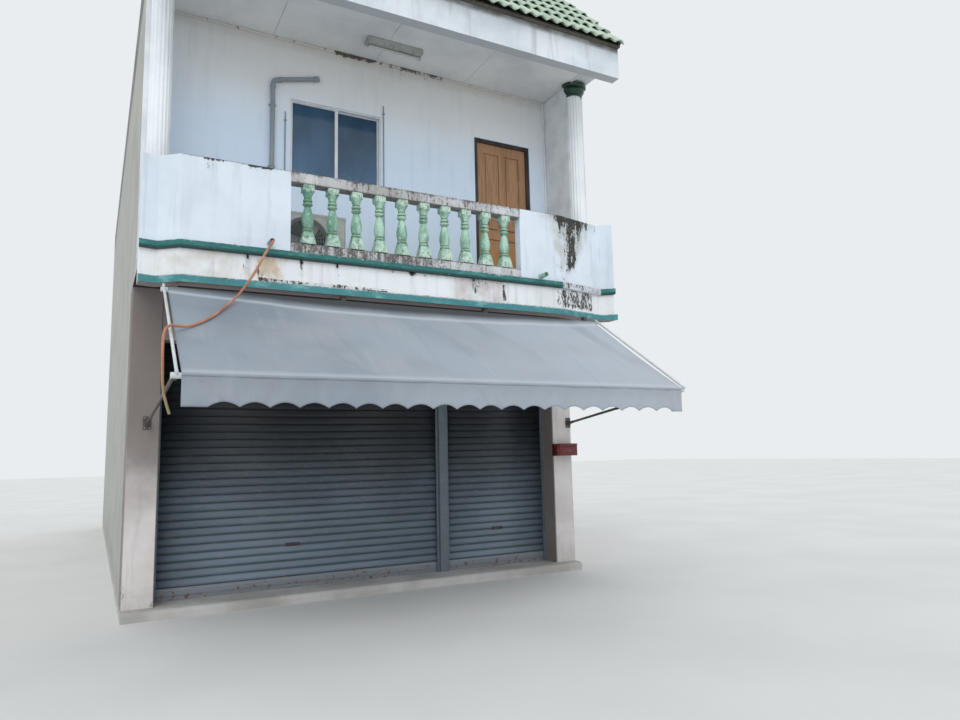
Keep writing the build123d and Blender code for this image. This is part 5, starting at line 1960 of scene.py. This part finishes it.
@dataclass
class Services:
    """Pipes, spouts, drip pipes, lamp and letterbox.

    Attributes:
        vent_at: Place of the vent pipe, in plan.
        socket: Radius of its sockets.
    """

    vent_at: tuple[float, float] = (-1.2, -0.282)
    socket: float = 0.0285

    def build(self) -> None:
        """Build all the small services."""
        self.vent()
        self.spouts()
        self.weeps()
        self.lamp()
        self.letterbox()

    def vent(self) -> None:
        """Vent pipe with its elbow, socket end and clips."""
        x, y = self.vent_at
        foot, corner, tip = at(x, y, DECK_Z), at(x, y, 5.29), at(-0.76, y, 5.4)
        points = [foot, at(x, y, 4.2), *elbow(foot, corner, tip, 0.055), tip]
        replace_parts(curve("vent_pipe_tube", points, 0.0238, PIPE, Coat.PIPE), "vent_pipe")
        bm = bmesh.new()
        way = (tip - corner).normalized()
        rod(bm, tip - way * 0.01, tip + way * 0.044, 0.0305, 28, edge=0.003)
        rod(bm, corner + way * 0.062, corner + way * 0.095, self.socket, 28, edge=0.003)
        rod(bm, at(x, y, 5.2), at(x, y, 5.232), self.socket, 28, edge=0.003)
        for z in (3.6, 4.35, 5.02):
            ring(bm, at(x, y, z), 0.0252, 0.003, Vector((0, 0, 1)), 28, 8)
            block(bm, at(x - 0.038, -0.258, z - 0.01), at(x + 0.038, WALL_Y, z + 0.01), 0.002)
        MAKE.mesh("vent_pipe_sockets", bm, PIPE, Coat.PIPE)
        bm = bmesh.new()
        # Dark disc in the mouth: painted shade of the pipe's inside.
        rod(bm, tip + way * 0.0435, tip + way * 0.0448, 0.0225, 24)
        MAKE.mesh("vent_pipe_mouth", bm, SHADOW, Coat.PIPE)

    def spouts(self) -> None:
        """Two open pipe stubs through the upper moulding."""
        for name, finish, x, z, radius, out, bore in (
                ("left_drain_pipe", PIPE, -1.405, 3.25, 0.022, 0.105, 0.035),
                ("right_drain_pipe", WORN_SPOUT, 1.42, 3.232, 0.026, 0.12, 0.115)):
            bm = bmesh.new()
            outline = ((0.0, bore - out), (radius - 0.005, bore - out), (radius - 0.005, 0.001 - out),
                       (radius - 0.004, -out), (radius - 0.001, -out), (radius, 0.001 - out), (radius, 0.0))
            made = lathe(bm, outline, Vector((0, 0, 0)), 28)
            turn = Matrix.Translation(at(x, FACE, z)) @ Matrix.Rotation(math.radians(-90), 4, "X")
            bmesh.ops.transform(bm, matrix=turn, verts=made)
            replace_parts(MAKE.mesh(name, bm, finish, Coat.PIPE), "drain_spouts")

    def weeps(self) -> None:
        """Short dark drip pipes under the upper moulding."""
        bm = bmesh.new()
        for x in WEEP_X[:4]:
            rod(bm, at(x, -1.222, 3.134), at(x, -1.222, 3.098), 0.0085, 14, edge=0.001)
        MAKE.mesh("drip_pipes", bm, SHADOW, Coat.GUARD)

    def lamp(self) -> None:
        """Batten lamp: rusty reflector, end holders and a dull tube."""
        bm = bmesh.new()
        tray = ((-0.560, CEILING_Z), (-0.556, 5.784), (-0.6, 5.745), (-0.612, 5.742), (-0.658, 5.742), (-0.67, 5.745),
                (-0.714, 5.784), (-0.710, CEILING_Z))
        extruded(bm, [at(-0.3, y, z) for y, z in tray], Vector((0.62, 0, 0)))
        for x in (-0.3, 0.304):
            block(bm, at(x, -0.652, 5.708), at(x + 0.016, -0.618, 5.746), 0.004)
        for x in (-0.302, 0.3175):
            block(bm, at(x, -0.71, 5.744), at(x + 0.0035, -0.56, CEILING_Z), 0.0012)
        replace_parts(MAKE.mesh("lamp_tray", bm, LAMP, Coat.LAMP), "soffit_lamp")
        bm = bmesh.new()
        rod(bm, at(-0.284, -0.635, 5.724), at(0.304, -0.635, 5.724), 0.013, 20)
        MAKE.mesh("lamp_tube", bm, LAMP_TUBE, Coat.LAMP)

    def letterbox(self) -> None:
        """Red box with a rounded left end, a lid, a slot and a lock."""
        bm = bmesh.new()
        made = block(bm, at(2.151, -0.379, 1.331), at(2.429, -0.2505, 1.474), 0)
        left = [e for e in edges_of(made) if all(v.co.x < 2.2 and v.co.y < STREET - 0.3 for v in e.verts)]
        rounded(bm, left, 0.055, 8)
        rounded(bm, [e for e in bm.edges if len(e.link_faces) == 2 and e.calc_face_angle(0) > 1.0], 0.005)
        block(bm, at(2.2, -0.3815, 1.448), at(2.428, -0.377, 1.474), 0.0015)
        rod(bm, at(2.31, -0.3785, 1.385), at(2.31, -0.3805, 1.385), 0.009, 16)
        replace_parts(MAKE.mesh("letterbox_case", bm, LETTERBOX, Coat.LETTERBOX), "letterbox")
        bm = bmesh.new()
        # Dark strip in the slot: painted shade of its opening.
        block(bm, at(2.215, -0.3806, 1.431), at(2.395, -0.3775, 1.4385), 0.0008)
        MAKE.mesh("letterbox_slot", bm, SHADOW, Coat.LETTERBOX)


@dataclass
class Trim:
    """Mouldings and strips along the wall and ceiling."""

    def build(self) -> None:
        """Add the cornice under the ceiling and the corner strips."""
        bm = bmesh.new()
        block(bm, at(-2.2, -0.268, 5.772), at(2.2, WALL_Y, 5.7999), 0.004)
        for side in (-1, 1):
            for wide, (y0, z0), (y1, z1) in ((0.03, (-0.262, DECK_Z), (WALL_Y, 5.772)),
                                             (0.012, (-1.333, 5.785), (-0.268, 5.7999))):
                left, right = sorted((side * 2.2, side * (2.2 - wide)))
                block(bm, at(left, y0, z0), at(right, y1, z1), 0.003)
        MAKE.mesh("balcony_trim", bm, WALL_PAINT, Coat.WALL)


KEPT: dict[str, Finish] = {
    "ground_slab": CONCRETE, "threshold_sill": CONCRETE, "upper_floor_slab": SLAB_CONCRETE, "front_piers": PIER_PAINT,
    "shutter_head_beam": PIER_PAINT, "shutter_guides": GUIDE, "shutter_post": GUIDE, "left_party_wall": SIDE_RENDER,
    "right_party_wall": SIDE_RENDER, "rear_wall": REAR_RENDER, "upper_front_wall": WALL_PAINT,
    "balcony_fascia": FASCIA_PAINT, "lower_moulding": LOWER_BAND, "upper_moulding": UPPER_BAND,
    "parapet_panels": PARAPET_PAINT, "balustrade_kerb": RAIL_PAINT, "handrail": RAIL_PAINT,
    "window_frames": FRAME_WHITE, "window_sashes": FRAME_WHITE, "window_glass": GLASS, "door_frames": DOOR_FRAME,
    "balcony_door": DOOR, "rear_door": DOOR, "soffit_boards": BOARD, "roof_edge_beam": BEAM_PAINT,
    "roof_slab": ROOF_CONCRETE, "tile_slope": MORTAR, "roof_parapet": ROOF_CONCRETE, "ridge_cap": MORTAR,
    "awning_brackets": AWNING_METAL, "ac_condenser": CONDENSER,
}


def main() -> None:
    """Dress the building in order: finishes on the kept parts first, then camera, hose, cloth, metal and the other
    parts.
    """
    logging.basicConfig(level=logging.INFO, format="%(message)s")
    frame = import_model()
    for name, finish in KEPT.items():
        wear(frame["nodes"][name], finish)
    parts: list[Callable[[], object]] = [Studio, DrainHose, Awning, Shutters, Balustrade, Columns, TiledEdge, Openings,
                                         Condenser, Services, Trim]
    for part in parts:
        LOG.info("building %s", part.__name__)
        part().build()


if __name__ == "__main__":
    main()
